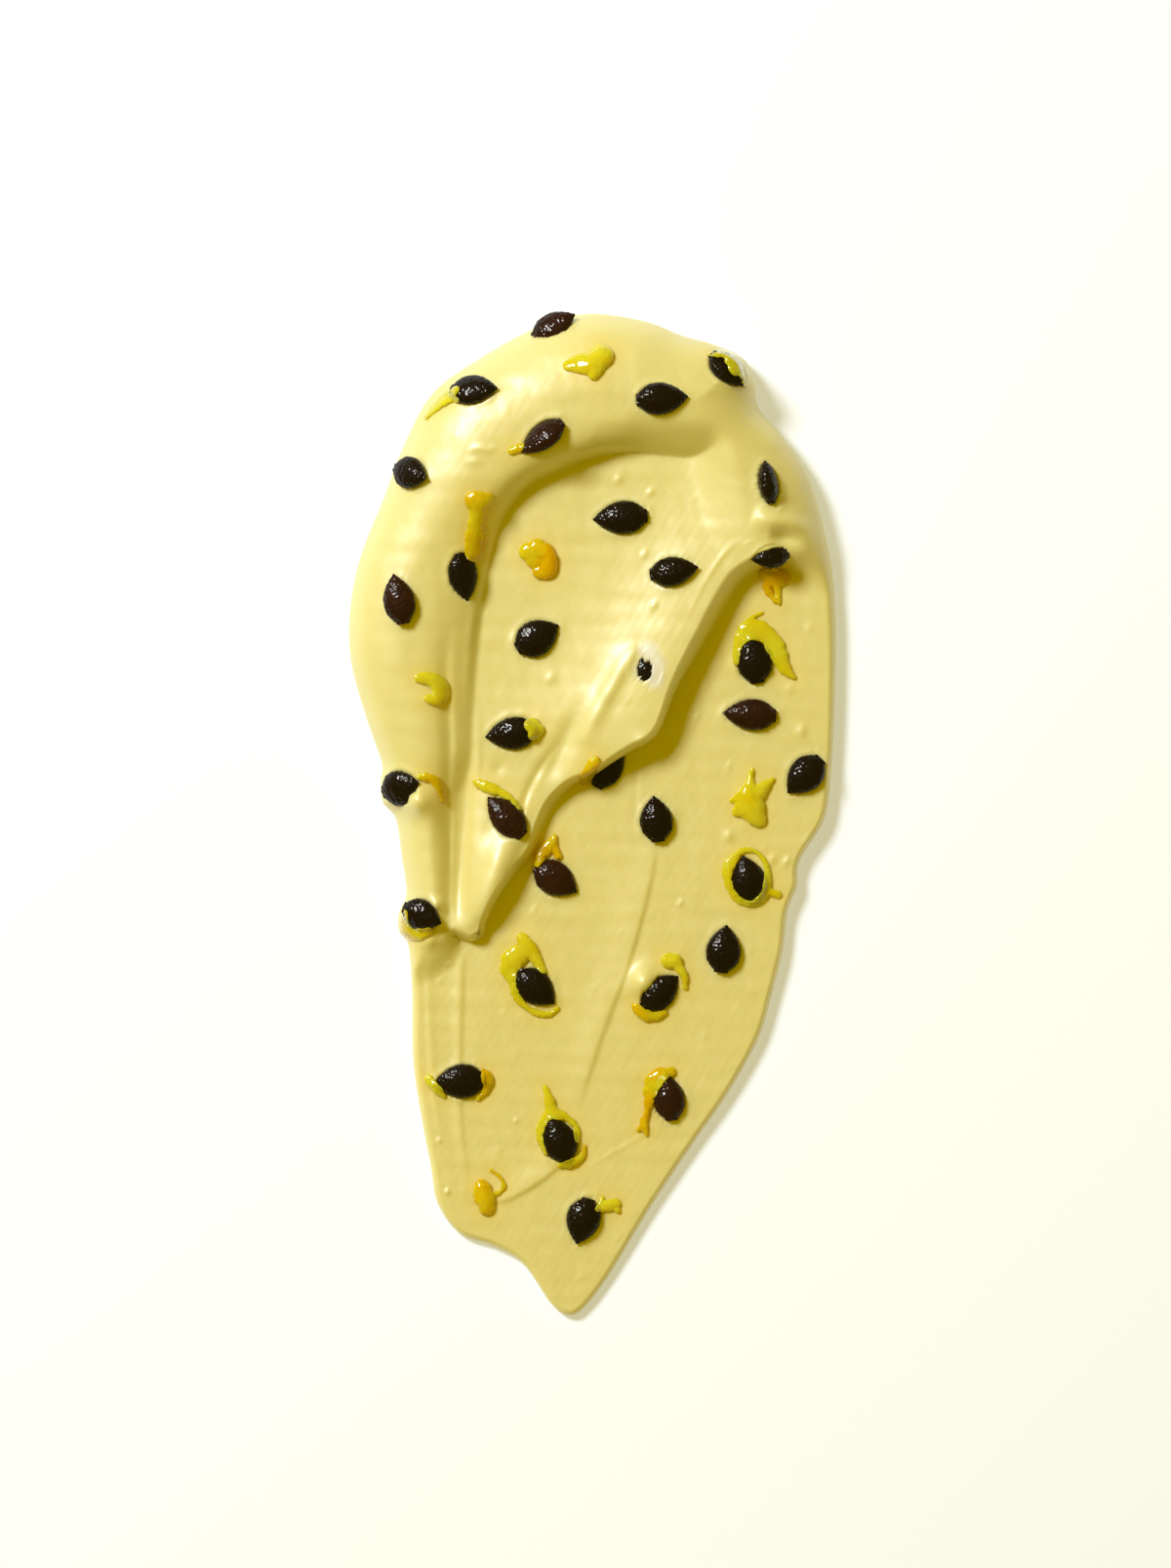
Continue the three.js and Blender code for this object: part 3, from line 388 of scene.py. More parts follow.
# The scraps of pulp, each one or more strokes of [x, y, radius, half height]
PULP = {
    "pulp_01": [
        [[-2.7, 48.8, 0.5, 0.35], [-1.5, 49, 0.9, 0.5], [-0.2, 49.1, 1.2, 0.7], [1, 49.9, 1.1, 0.8]],
        [[0.7, 50.8, 0.5, 0.5], [0.6, 49.6, 1, 0.7], [0, 47.8, 0.6, 0.5]],
    ],
    "pulp_02": [
        [[-18.2, 43.3, 0.25, 0.25], [-16.8, 44.7, 0.45, 0.35], [-15.7, 45.5, 0.6, 0.4],
         [-14.8, 46.3, 0.35, 0.3]],
        [[-15.4, 45.4, 0.35, 0.3], [-14.7, 45, 0.3, 0.3]],
    ],
    "pulp_03": [
        [[12.8, 50.2, 0.4, 0.4], [14.4, 50.3, 0.6, 0.5], [15.6, 49.5, 0.7, 0.6],
         [16.5, 48.1, 0.6, 0.5], [16.6, 46.9, 0.35, 0.4]],
        [[14.8, 49.4, 0.5, 0.3], [15.5, 48.2, 0.5, 0.3]],
    ],
    "pulp_04": [
        [[-9, 39.5, 0.35, 0.3], [-8.3, 39.7, 0.5, 0.4], [-7.7, 40.1, 0.3, 0.3]],
    ],
    "pulp_05": [
        [[-13.3, 34.3, 0.8, 0.5], [-12.1, 33.9, 1.1, 0.7], [-11.2, 34.5, 0.6, 0.5]],
        [[-12.3, 33.8, 1, 0.6], [-12.6, 32, 0.8, 0.5], [-12.7, 30, 1.1, 0.6], [-12.9, 28.4, 1, 0.45]],
    ],
    "pulp_06": [
        [[-7.1, 28.7, 0.9, 0.6], [-5.8, 29, 1, 0.7], [-4.8, 28.2, 0.9, 0.8], [-4.9, 26.9, 0.9, 0.7],
         [-5.8, 26.5, 0.7, 0.5]],
        [[-6.6, 28, 0.9, 0.5], [-5.8, 27.5, 0.9, 0.5]],
    ],
    "pulp_07": [
        [[-19, 14.9, 0.4, 0.4], [-17.9, 14.9, 0.8, 0.5], [-16.8, 14.3, 0.8, 0.6],
         [-16.5, 13.3, 0.8, 0.6], [-17, 12.6, 0.7, 0.5], [-18, 12.7, 0.5, 0.4]],
    ],
    "pulp_08": [
        [[-6.9, 9.9, 0.7, 0.5], [-6, 9.4, 0.8, 0.6], [-6.5, 8.7, 0.6, 0.5]],
    ],
    "pulp_09": [
        [[18.6, 26.3, 0.5, 0.4], [19.8, 25.9, 0.9, 0.5], [21, 25.9, 0.6, 0.4]],
        [[19.2, 25.8, 0.5, 0.4], [19, 24.8, 0.45, 0.35], [19.9, 23.4, 0.3, 0.3]],
        [[20, 25.6, 0.5, 0.4], [20.2, 24.4, 0.35, 0.3], [20.3, 23.1, 0.25, 0.25]],
    ],
    "pulp_10": [
        [[15.6, 16.6, 0.3, 0.3], [15.8, 18.6, 0.5, 0.35], [16.7, 20, 0.9, 0.45], [18, 20.2, 1, 0.5],
         [19.3, 19.4, 1, 0.5], [20.1, 18, 0.9, 0.45], [20.9, 16.1, 0.65, 0.4], [22, 15, 0.25, 0.3]],
        [[16.2, 20.6, 0.25, 0.3], [17.4, 21.6, 0.2, 0.25], [18.5, 22.1, 0.15, 0.2]],
    ],
    "pulp_11": [
        [[17.4, 5, 0.25, 0.3], [17.1, 3.4, 0.5, 0.5], [17.1, 1.8, 1.3, 0.8], [17.5, 0.2, 1.2, 0.8],
         [18.5, -0.8, 0.4, 0.4]],
        [[19.7, 3.9, 0.2, 0.25], [18.6, 3, 0.6, 0.5], [17.4, 1.8, 1, 0.7]],
        [[15.6, 0.3, 0.4, 0.4], [16.6, 1, 1, 0.7]],
        [[15.2, 1.6, 0.3, 0.3], [16.4, 1.9, 0.8, 0.6]],
    ],
    "pulp_12": [
        [[-12.8, 3.6, 0.35, 0.35], [-11.6, 3.1, 0.6, 0.5], [-10.3, 2.6, 0.5, 0.4],
         [-9, 1.9, 0.3, 0.3], [-8, 0.8, 0.25, 0.25]],
    ],
    "pulp_13": [
        [[-0.9, 3.9, 0.5, 0.4], [-0.3, 4.9, 0.7, 0.5], [0.3, 6, 0.5, 0.4]],
    ],
    "pulp_14": [
        [[-6.1, -5.2, 0.4, 0.4], [-5.6, -4.2, 0.6, 0.5], [-4.6, -3.2, 0.6, 0.5],
         [-4.2, -2.4, 0.35, 0.35]],
        [[-4.4, -3.2, 0.5, 0.4], [-3.8, -4.4, 0.4, 0.4]],
    ],
    "pulp_15": [
        [[15.3, -4.8, 0.5, 0.3], [14.7, -5.9, 0.6, 0.35], [14.8, -7.5, 0.4, 0.3],
         [15.7, -9.1, 0.4, 0.3], [17.3, -9.7, 0.35, 0.3], [18.7, -8.8, 0.45, 0.3],
         [19.1, -7.1, 0.4, 0.3], [18.9, -5.3, 0.3, 0.25], [17.8, -4, 0.25, 0.25],
         [16.3, -3.9, 0.35, 0.25], [15.3, -4.8, 0.5, 0.3]],
        [[19.1, -8.3, 0.35, 0.3], [20.2, -8.7, 0.45, 0.3]],
    ],
    "pulp_16": [
        [[-20.5, -10.6, 0.3, 0.3], [-20.5, -11.8, 0.45, 0.4], [-20, -12.9, 0.7, 0.5],
         [-18.9, -13, 0.6, 0.5], [-17.7, -12.6, 0.35, 0.35]],
    ],
    "pulp_17": [
        [[8.2, -15.9, 0.9, 0.6], [9, -15.9, 0.9, 0.6]],
        [[9.2, -16.4, 0.5, 0.5], [10, -17.6, 0.4, 0.4], [10.1, -18.8, 0.3, 0.3]],
    ],
    "pulp_18": [
        [[4.6, -20.9, 0.4, 0.4], [5.6, -21.8, 0.6, 0.5], [6.9, -22, 0.5, 0.4], [7.9, -21.6, 0.3, 0.3]],
    ],
    "pulp_19": [
        [[-7.9, -13.2, 0.5, 0.5], [-7.2, -14.2, 0.8, 0.6], [-6.3, -15.6, 0.6, 0.5],
         [-5.4, -17, 0.35, 0.35]],
        [[-7.3, -14.9, 0.9, 0.5], [-8.5, -15.5, 1.1, 0.6], [-9.2, -16.6, 0.9, 0.5],
         [-8.9, -18, 0.5, 0.35], [-8.3, -19.9, 0.4, 0.3], [-6.8, -21.3, 0.35, 0.3],
         [-5, -21.8, 0.35, 0.3], [-3.8, -21.1, 0.25, 0.25]],
    ],
    "pulp_20": [
        [[-17.9, -28.9, 0.5, 0.4], [-17.2, -29.8, 0.5, 0.4], [-16.3, -30.7, 0.3, 0.3]],
    ],
    "pulp_21": [
        [[-12, -27.9, 0.3, 0.3], [-11.5, -28.8, 0.6, 0.45], [-11.6, -30, 0.4, 0.35],
         [-12.6, -31, 0.25, 0.3]],
    ],
    "pulp_22": [
        [[8.6, -28, 0.5, 0.35], [7.5, -28.3, 0.7, 0.45], [6.7, -29, 0.9, 0.5], [6.2, -30.4, 0.7, 0.4],
         [6, -32.2, 0.35, 0.35], [5.6, -33.6, 0.45, 0.35], [5.9, -35, 0.2, 0.25]],
        [[5.6, -33.4, 0.3, 0.3], [5, -34.4, 0.25, 0.25]],
    ],
    "pulp_23": [
        [[-5.3, -29.6, 0.25, 0.3], [-4.8, -31, 0.5, 0.45], [-4.4, -32.4, 0.6, 0.45],
         [-3, -33, 0.4, 0.35], [-1.9, -34, 0.35, 0.3], [-1.6, -35.6, 0.3, 0.25]],
        [[-4.6, -32.4, 0.6, 0.4], [-5.6, -33.8, 0.45, 0.35], [-5.8, -35.3, 0.35, 0.3],
         [-5.2, -37, 0.25, 0.25]],
    ],
    "pulp_24": [
        [[-3.6, -38.3, 0.3, 0.3], [-2.4, -38.1, 0.5, 0.4], [-1.2, -37.3, 0.35, 0.3],
         [-0.9, -36.2, 0.25, 0.25]],
    ],
    "pulp_25": [
        [[0.6, -43, 0.4, 0.35], [1.6, -42.7, 0.6, 0.5], [2.6, -42.4, 0.5, 0.4]],
        [[2.2, -42.4, 0.4, 0.4], [2.7, -43.2, 0.35, 0.35]],
        [[0.8, -42.8, 0.35, 0.3], [1, -41.9, 0.25, 0.25]],
    ],
    "pulp_26": [
        [[-12.2, -40.5, 0.7, 0.5], [-11.8, -41.8, 1.1, 0.7], [-11.6, -43, 0.8, 0.5]],
        [[-12.9, -41.4, 0.3, 0.3], [-12.3, -42, 0.6, 0.5]],
        [[-11.2, -38.8, 0.15, 0.2], [-10.2, -39.5, 0.2, 0.25], [-9.7, -40.5, 0.2, 0.25],
         [-10.3, -41.3, 0.25, 0.25], [-11.2, -41.4, 0.3, 0.3]],
    ],
    "pulp_27": [
        [[-18.9, 4.2, 0.4, 0.4], [-17.6, 4, 0.5, 0.4], [-16.6, 3, 0.5, 0.4], [-16.2, 1.5, 0.25, 0.3]],
    ],
}


def ease(low, high, value):
    """From 0 to 1 as the value goes from low to high, soft at both ends."""
    t = np.clip((value - low) / (high - low), 0, 1)
    return t * t * (3 - 2 * t)


def line(rows, closed=False):
    """A smooth line through rows of [x, y, value, ...], with a few steps to each span."""
    rows = np.array(rows, float)
    ends = (rows[-1:], rows[:2]) if closed else (rows[:1], rows[-1:])
    padded = np.vstack([ends[0], rows, ends[1]])
    a, b, c, d = (padded[i:len(padded) - 3 + i, None] for i in range(4))
    t = (np.arange(LINE_STEPS) / LINE_STEPS)[None, :, None]
    spans = b + 0.5 * t * (c - a + t * (2 * a - 5 * b + 4 * c - d + t * (3 * b - a - 3 * c + d)))
    return np.vstack([spans.reshape(-1, rows.shape[1]), padded[-2:-1]])


def nearest(points, places):
    """The nearest place on a line: distance, positive on its left, its values, the way left and the foot."""
    start, end = points[:-1], points[1:]
    step = (end - start)[:, :2]
    size = (step ** 2).sum(1)
    found = []
    for first in range(0, len(places), PLACES_AT_ONCE):
        xy = places[first:first + PLACES_AT_ONCE]
        away = xy[:, None] - start[None, :, :2]
        t = np.clip((away * step).sum(2) / size, 0, 1)
        off = away - t[..., None] * step
        square = (off ** 2).sum(2)
        k = square.argmin(1)
        row = np.arange(len(xy))
        t, off, way = t[row, k], off[row, k], step[k]
        side = np.where(way[:, 0] * off[:, 1] - way[:, 1] * off[:, 0] < 0, -1, 1)
        foot = start[k] + t[:, None] * (end[k] - start[k])
        left = np.stack([-way[:, 1], way[:, 0]], 1) / np.sqrt(size[k])[:, None]
        found.append(np.column_stack([side * np.sqrt(square[row, k]), left, foot]))
    found = np.vstack(found)
    return found[:, 0], found[:, 5:].T, found[:, 1:3], found[:, 3:5]


outline_line = line(OUTLINE, closed=True)
rim_line = line(RIM)
fold_line = line(FOLD)
ridge_lines = [line(rows) for rows in RIDGES.values()]
mark_lines = [line(rows) for rows in MARKS.values()]


def sheet_height(y):
    return SHEET_AT_ORIGIN + SHEET_SLOPE * y


def rim_rise(places):
    """The rim's rise: whole outside its crest, and inside it the most that any point of the crest lends."""
    distance, _, _, foot = nearest(rim_line, places)
    held = np.where(distance[:, None] > 0, places, foot)
    best = np.zeros(len(places))
    for x, y, rise, flat, wall, abrupt in rim_line:
        u = np.clip((np.hypot(held[:, 0] - x, held[:, 1] - y) - flat) / wall, 0, 1)
        share = (1 - abrupt) * (1 - ease(0, 1, u)) + abrupt * (1 - u ** ABRUPT_POWER)
        best = np.maximum(best, rise * share)
    return best


def crest_rise(places, distance, foot):
    """How much the fold's crest lifts the shelf: the most that any point of it lends."""
    held = np.where(distance[:, None] > 0, places, foot)
    best = np.zeros(len(places))
    for x, y, _, crest, _ in fold_line:
        gap = np.hypot(held[:, 0] - x, held[:, 1] - y)
        best = np.maximum(best, crest * np.exp(-((gap / CREST_REACH) ** 2)))
    return best


def ridge_height(points, places):
    """The rise of a soft ridge along a line, wider on one side than on the other."""
    distance, (rise, left_width, right_width), _, _ = nearest(points, places)
    return rise * np.exp(-((distance / np.where(distance > 0, left_width, right_width)) ** 2))


def layer(places):
    """The cream's thickness, and the sideways lean of the surface, before the outer edge is rounded."""
    distance, (wall, _, lean), left, foot = nearest(fold_line, places)
    y = places[:, 1]
    on_shelf = ease(-wall, 0, distance)
    head_share = ease(SHELF_FADES_TO, SHELF_FADES_FROM, y)
    shelf = SHELF_RISE_TAIL + (SHELF_RISE_HEAD - SHELF_RISE_TAIL) * head_share
    shelf = shelf + rim_rise(places) + crest_rise(places, distance, foot)
    shelf = shelf + sum(ridge_height(points, places) for points in ridge_lines)
    lip_reach = np.where(distance > -wall / 2, LIP_REACH_IN, LIP_REACH_OUT * wall)
    out = lean * np.exp(-(((distance + wall / 2) / lip_reach) ** 2))
    return sheet_height(y) + on_shelf * shelf, -left * out[:, None]


def rounded(thickness, inward):
    """The height of a surface of that thickness at a distance inward from the outline."""
    reach = np.maximum(EDGE_REACH_LEAST, EDGE_REACH_GROWS * (thickness - EDGE_REACH_FROM))
    u = np.maximum(1 - inward / reach, 0)
    edge = EDGE_LINE * thickness
    return edge + (thickness - edge) * np.sqrt(1 - u * u)


def lengths_along(points):
    """The length of a line in the plan up to each of its points."""
    return np.concatenate([[0], np.cumsum(np.hypot(*np.diff(points[:, :2], axis=0).T))])


def along(points):
    """A line in the plan as a function of the share of its length."""
    lengths = lengths_along(points)
    shares = lengths / lengths[-1]

    def place(share):
        return np.stack([np.interp(share, shares, points[:, 0]), np.interp(share, shares, points[:, 1])], -1)

    return place


def outline_side(start, end):
    """The outline clockwise between two of its rows."""
    total = len(OUTLINE)
    steps = (end - start) % total * LINE_STEPS
    return along(outline_line[(start * LINE_STEPS + np.arange(steps + 1)) % (total * LINE_STEPS)])


def backwards(side):
    """The same side of a field, run through from its end."""
    return lambda share: side(1 - share)


# The cream's surface is two four-sided fields, the shelf and the sheet, which meet along the fold
fold_side = along(fold_line)
shelf_field = {
    "low": fold_side,
    "high": outline_side(HEAD_LEFT, HEAD_RIGHT),
    "left": outline_side(FOLD_LEFT, HEAD_LEFT),
    "right": backwards(outline_side(HEAD_RIGHT, FOLD_RIGHT)),
    "cells": CELLS_ON_SHELF,
    "dense": (FOLD_DENSITY, EDGE_DENSITY),
}
sheet_field = {
    "low": backwards(outline_side(TAIL_RIGHT, TAIL_LEFT)),
    "high": fold_side,
    "left": outline_side(TAIL_LEFT, FOLD_LEFT),
    "right": backwards(outline_side(FOLD_RIGHT, TAIL_RIGHT)),
    "cells": CELLS_ON_SHEET,
    "dense": (EDGE_DENSITY, FOLD_DENSITY),
}


def spread(cells, length, first, last):
    """Shares of a length from 0 to 1, closer together by its two ends."""
    share = np.linspace(0, 1, DENSITY_SAMPLES)
    density = 1 + first * np.exp(-share * length / DENSE_REACH)
    density = density + last * np.exp(-(1 - share) * length / DENSE_REACH)
    total = np.concatenate([[0], np.cumsum((density[1:] + density[:-1]) / 2)])
    return np.interp(np.linspace(0, 1, cells + 1), total / total[-1], share)


def plan(field):
    """A field's grid of places, spread between its four sides."""
    even_u = np.linspace(0, 1, CELLS_ACROSS + 1)
    even_v = np.linspace(0, 1, field["cells"] + 1)
    heights = np.hypot(*(field["high"](even_u) - field["low"](even_u)).T)
    widths = np.hypot(*(field["right"](even_v) - field["left"](even_v)).T)
    u = np.stack([spread(CELLS_ACROSS, width, EDGE_DENSITY, EDGE_DENSITY) for width in widths])[..., None]
    v = np.stack([spread(field["cells"], height, *field["dense"]) for height in heights], 1)[..., None]
    low, high = field["low"](u[..., 0]), field["high"](u[..., 0])
    left, right = field["left"](v[..., 0]), field["right"](v[..., 0])
    low_corners = (1 - u) * field["low"](0.0) + u * field["low"](1.0)
    high_corners = (1 - u) * field["high"](0.0) + u * field["high"](1.0)
    return (1 - v) * (low - low_corners) + v * (high - high_corners) + (1 - u) * left + u * right


def evened(grid):
    """The grid with its cells evened out away from the outline and the fold, so that none lies folded."""
    places = grid.reshape(-1, 2)
    gap = np.minimum(np.abs(nearest(outline_line, places)[0]), np.abs(nearest(fold_line, places)[0]))
    free = ease(EVEN_FROM, EVEN_TO, gap).reshape(*grid.shape[:2], 1)[1:-1, 1:-1]
    for _ in range(EVENING_ROUNDS):
        middle = (grid[:-2, 1:-1] + grid[2:, 1:-1] + grid[1:-1, :-2] + grid[1:-1, 2:]) / 4
        grid[1:-1, 1:-1] += free * (middle - grid[1:-1, 1:-1])
    return grid


def wave_strands(dimensions, count):
    """Fixed random directions and phases for the waves of a noise."""
    return rng.normal(size=(dimensions, count)), rng.uniform(0, 2 * math.pi, count)


def noise(points, size, strands):
    """Smooth noise from a few sine waves in fixed random directions."""
    ways, phase = strands
    return np.sin(points @ ways / size + phase).mean(1)


def beads_of(strokes):
    """The beads along a scrap's strokes, their radii a little uneven."""
    beads = []
    for rows in strokes:
        points = line(rows)
        lengths = lengths_along(points)
        at = np.arange(0, lengths[-1] + BEAD_STEP, BEAD_STEP)
        stroke = np.stack([np.interp(at, lengths, points[:, k]) for k in range(4)], 1)
        stroke[:, 2] *= 1 + BEAD_UNEVEN * rng.uniform(-1, 1, len(stroke))
        beads.extend(stroke)
    return beads


# The random draws that shape the surface and the pulp come first, in a fixed order
uneven_strands = [wave_strands(2, SURFACE_WAVES) for _ in UNEVEN]
scattered = np.column_stack([
    rng.uniform(SCATTER_LOW, SCATTER_HIGH, (SCATTERED_DOTS, 2)),
    SCATTERED_RISE * rng.uniform(SCATTERED_LEAST, 1, SCATTERED_DOTS),
    rng.uniform(*SCATTERED_RADII, SCATTERED_DOTS),
])
pulp_beads = {node: beads_of(strokes) for node, strokes in PULP.items()}
pulp_strands = wave_strands(3, PULP_WAVES)


def fine_relief(places):
    """The spoon's fine marks, small bumps and dimples, and the soft unevenness."""
    height = sum(ridge_height(points, places) for points in mark_lines)
    for (size, rise), strands in zip(UNEVEN, uneven_strands):
        height = height + rise * noise(places, size / (2 * math.pi), strands)
    for x, y, rise, radius in [*DOTS, *scattered]:
        height = height + rise * np.exp(-(np.hypot(places[:, 0] - x, places[:, 1] - y) / radius) ** 2)
    return height


def juice(points):
    """How much the juice of the nearest pulp tints each point of the cream."""
    most = np.zeros(len(points))
    for x, y, radius, _ in (bead for beads in pulp_beads.values() for bead in beads):
        gap = np.hypot(points[:, 0] - x, points[:, 1] - y) - radius
        most = np.maximum(most, np.exp(-((np.maximum(gap, 0) / JUICE_REACH) ** 2)))
    return JUICE_MOST * most


def film(points):
    """How much of each point of the cream is only a whitish film, from 0 to 1."""
    most = np.zeros(len(points))
    for x, y, radius in FILMS:
        gap = np.hypot(points[:, 0] - x, points[:, 1] - y)
        most = np.maximum(most, np.exp(-((gap / radius) ** FILM_POWER)))
    return most


def cream_points():
    """The surface's two grids of points, before anything is pressed into it."""
    grids = []
    for field in (sheet_field, shelf_field):
        grid = evened(plan(field))
        places = grid.reshape(-1, 2)
        thickness, lean = layer(places)
        inward = np.abs(nearest(outline_line, places)[0])
        still = ease(0, STILL_EDGE, inward)[:, None]
        height = rounded(thickness, inward) + ease(MARKS_START, MARKS_WHOLE, inward) * fine_relief(places)
        points = np.column_stack([places + still * lean, height])
        grids.append(points.reshape(*grid.shape[:2], 3))
    return grids


def press_in(points, seed):
    """Lowers the cream under a seed, and lets it climb the seed's side in an uneven collar."""
    tree, low, high = seed
    near = (points[:, :2] > low[:2] - COLLAR_MARGIN) & (points[:, :2] < high[:2] + COLLAR_MARGIN)
    for k in np.flatnonzero(near.all(1)):
        x, y, z = points[k]
        top = tree.ray_cast((x, y, PRESS_FROM), (0, 0, -1))[0]
        if top is None:
            foot, _, _, distance = tree.find_nearest((x, y, z))
            wave = math.sin(COLLAR_WAVES * math.atan2(y - foot.y, x - foot.x) + COLLAR_TURN * low[0])
            height = COLLAR_HEIGHT * (1 - COLLAR_WAVE + COLLAR_WAVE * wave)
            points[k, 2] += height * math.exp(-((distance / COLLAR_WIDTH) ** 2))
            continue
        bottom = tree.ray_cast((x, y, -PRESS_FROM), (0, 0, 1))[0]
        if top.z > z:
            share = ease(SOCKET_CHORD_LEAST, SOCKET_CHORD_MOST, top.z - bottom.z)
            points[k, 2] = z + share * (min(z, bottom.z - SOCKET_GAP) - z)


def make_mesh(name, points, faces, material, node):
    """A piece from points in millimetres, on the one body, in place of its solid."""
    mesh = bpy.data.meshes.new(name)
    mesh.from_pydata((np.asarray(points) * METRES).tolist(), [], faces)
    mesh.polygons.foreach_set("use_smooth", [True] * len(mesh.polygons))
    mesh.materials.append(material)
    mesh.validate()
    piece = bpy.data.objects.new(name, mesh)
    bpy.context.scene.collection.objects.link(piece)
    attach(piece, "root")
    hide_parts(node)
    return piece


def grid_faces(numbers):
    """Four-sided faces over a grid of vertex numbers whose rows run to +X and columns to +Y."""
    corners = [numbers[:-1, :-1], numbers[:-1, 1:], numbers[1:, 1:], numbers[1:, :-1]]
    return np.stack([c.ravel() for c in corners], 1)


def number_grids(sheet, shelf):
    """The vertex numbers of both grids. The shelf's first row is the sheet's last, along the fold."""
    rows, columns = sheet.shape[:2]
    low = np.arange(rows * columns).reshape(rows, columns)
    fresh = np.arange((len(shelf) - 1) * columns).reshape(-1, columns) + low.size
    return low, np.vstack([low[-1:], fresh])


def outer_ring(low, high):
    """The vertex numbers all round both grids, counterclockwise seen from above."""
    return np.concatenate([
        low[0, :-1], low[:-1, -1], high[:-1, -1], high[-1, :0:-1], high[:0:-1, 0], low[:0:-1, 0],
    ])


def skirt(edge):
    """Rows of points from the edge line down to the foot, curling under."""
    left = nearest(outline_line, edge[:, :2])[2]
    rows = []
    for k in range(1, EDGE_ROWS + 1):
        turn = math.pi / 2 * k / EDGE_ROWS
        inset = EDGE_UNDERCUT * edge[:, 2:] * (1 - math.cos(turn))
        rows.append(np.column_stack([edge[:, :2] - left * inset, edge[:, 2] * (1 - math.sin(turn))]))
    return rows


def add_shares(piece, name, values):
    shares = piece.data.attributes.new(name, "FLOAT", "POINT")
    shares.data.foreach_set("value", values.astype(np.float32))


def make_cream(material, seeds):
    """The cream in one closed skin, with the seeds pressed into it. Gives its tree of faces."""
    sheet, shelf = cream_points()
    low, high = number_grids(sheet, shelf)
    points = np.vstack([sheet.reshape(-1, 3), shelf[1:].reshape(-1, 3)])
    ring = outer_ring(low, high)
    rings = [len(points) + k * len(ring) + np.arange(len(ring)) for k in reversed(range(EDGE_ROWS))]
    skirt_rows = skirt(points[ring])
    for seed in seeds:
        press_in(points, seed)
    points = np.vstack([points, *skirt_rows])
    rows = np.stack([*rings, ring])
    wrapped = np.hstack([rows, rows[:, :1]])
    faces = np.vstack([grid_faces(low), grid_faces(high), grid_faces(wrapped)]).tolist()
    faces.append(rows[0, ::-1].tolist())
    piece = make_mesh("cream_smear", points, faces, material, "cream")
    add_shares(piece, "juice", juice(points))
    add_shares(piece, "film", film(points))
    return BVHTree.FromPolygons(points.tolist(), faces)


def seed_frame(node):
    """Where a seed's solid lies: its centre, the ways to its point, side and top, and its three sizes."""
    points = np.array([v.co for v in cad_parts[node].data.vertices]) / METRES
    mean = points.mean(0)
    _, ways = np.linalg.eigh(np.cov((points - mean).T))
    top, length = ways[:, 0], ways[:, 2]
    top = top * (1 if top[2] > 0 else -1)
    reach = (points - mean) @ length
    length = length * (1 if reach.max() + reach.min() > 0 else -1)
    side = np.cross(top, length)
    axes = np.stack([length, side, top], 1)
    local = (points - mean) @ axes
    centre = mean + axes @ ((local.max(0) + local.min(0)) / 2)
    return centre, axes, local.max(0) - local.min(0)


def seed_skin(share, angle, size, swell=1):
    """Places on a seed's skin, by the share of its length and the angle round it, about its own centre."""
    share, angle, swell = np.broadcast_arrays(share, angle, swell)
    profile = np.array(SEED_PROFILE)
    wide = np.interp(share, profile[:, 0], profile[:, 1]) * swell * size[1] / 2
    thick = np.interp(share, profile[:, 0], profile[:, 2]) * swell * size[2] / 2
    return np.stack([(share - 0.5) * size[0], wide * np.cos(angle), thick * np.sin(angle)], -1)


def pit_places(size, turn):
    """The middles of a seed's pits, in staggered rows with some scatter."""
    rows, columns = np.meshgrid(np.arange(PIT_ROWS), np.arange(PIT_COLUMNS), indexing="ij")
    scatter = rng.uniform(-PIT_SCATTER, PIT_SCATTER, (2, PIT_ROWS, PIT_COLUMNS))
    share = (rows + PIT_FIRST_ROW + scatter[0]) / (PIT_ROWS + PIT_SPARE_ROWS)
    angle = (columns + 0.5 * (rows % 2) + scatter[1]) * 2 * math.pi / PIT_COLUMNS + turn
    return seed_skin(share, angle, size).reshape(-1, 3)


def seed_points(size, turn):
    """A seed about its own centre: point towards +X, top towards +Z."""
    share = (0.5 - 0.5 * np.cos(np.linspace(0, math.pi, SEED_RINGS + 1)))[:, None]
    angle = np.linspace(0, 2 * math.pi, SEED_SIDES, endpoint=False)[None, :]
    teeth = NIB_DEPTH * np.exp(-((share / NIB_REACH) ** 2)) * np.cos(NIB_TEETH * angle + turn)
    points = seed_skin(share, angle, size, 1 + teeth)
    gap = np.linalg.norm(points[:, :, None] - pit_places(size, turn), axis=3).min(2)
    grown = np.clip((share - PITS_START) / PITS_GROW, 0, 1)
    dent = PIT_DEPTH * np.exp(-((gap / PIT_SIZE) ** 2)) * grown
    way = np.stack(np.broadcast_arrays(0.0, np.cos(angle) / size[1], np.sin(angle) / size[2]), -1)
    way = way / np.linalg.norm(way, axis=2, keepdims=True)
    return points - dent[..., None] * way


def make_seed(node, material):
    """A pitted seed where its solid lies. Gives its tree of faces and its lowest and highest corners."""
    centre, axes, size = seed_frame(node)
    points = seed_points(size, rng.uniform(0, 2 * math.pi))
    rings, sides = points.shape[:2]
    numbers = np.arange(rings * sides).reshape(rings, sides)
    wrapped = np.hstack([numbers, numbers[:, :1]]).T
    faces = grid_faces(wrapped).tolist()
    faces.append(numbers[0].tolist())
    faces.append(numbers[-1, ::-1].tolist())
    placed = centre + points.reshape(-1, 3) @ axes.T
    make_mesh(node + "_fine", placed, faces, material, node)
    return BVHTree.FromPolygons(placed.tolist(), faces), placed.min(0), placed.max(0)


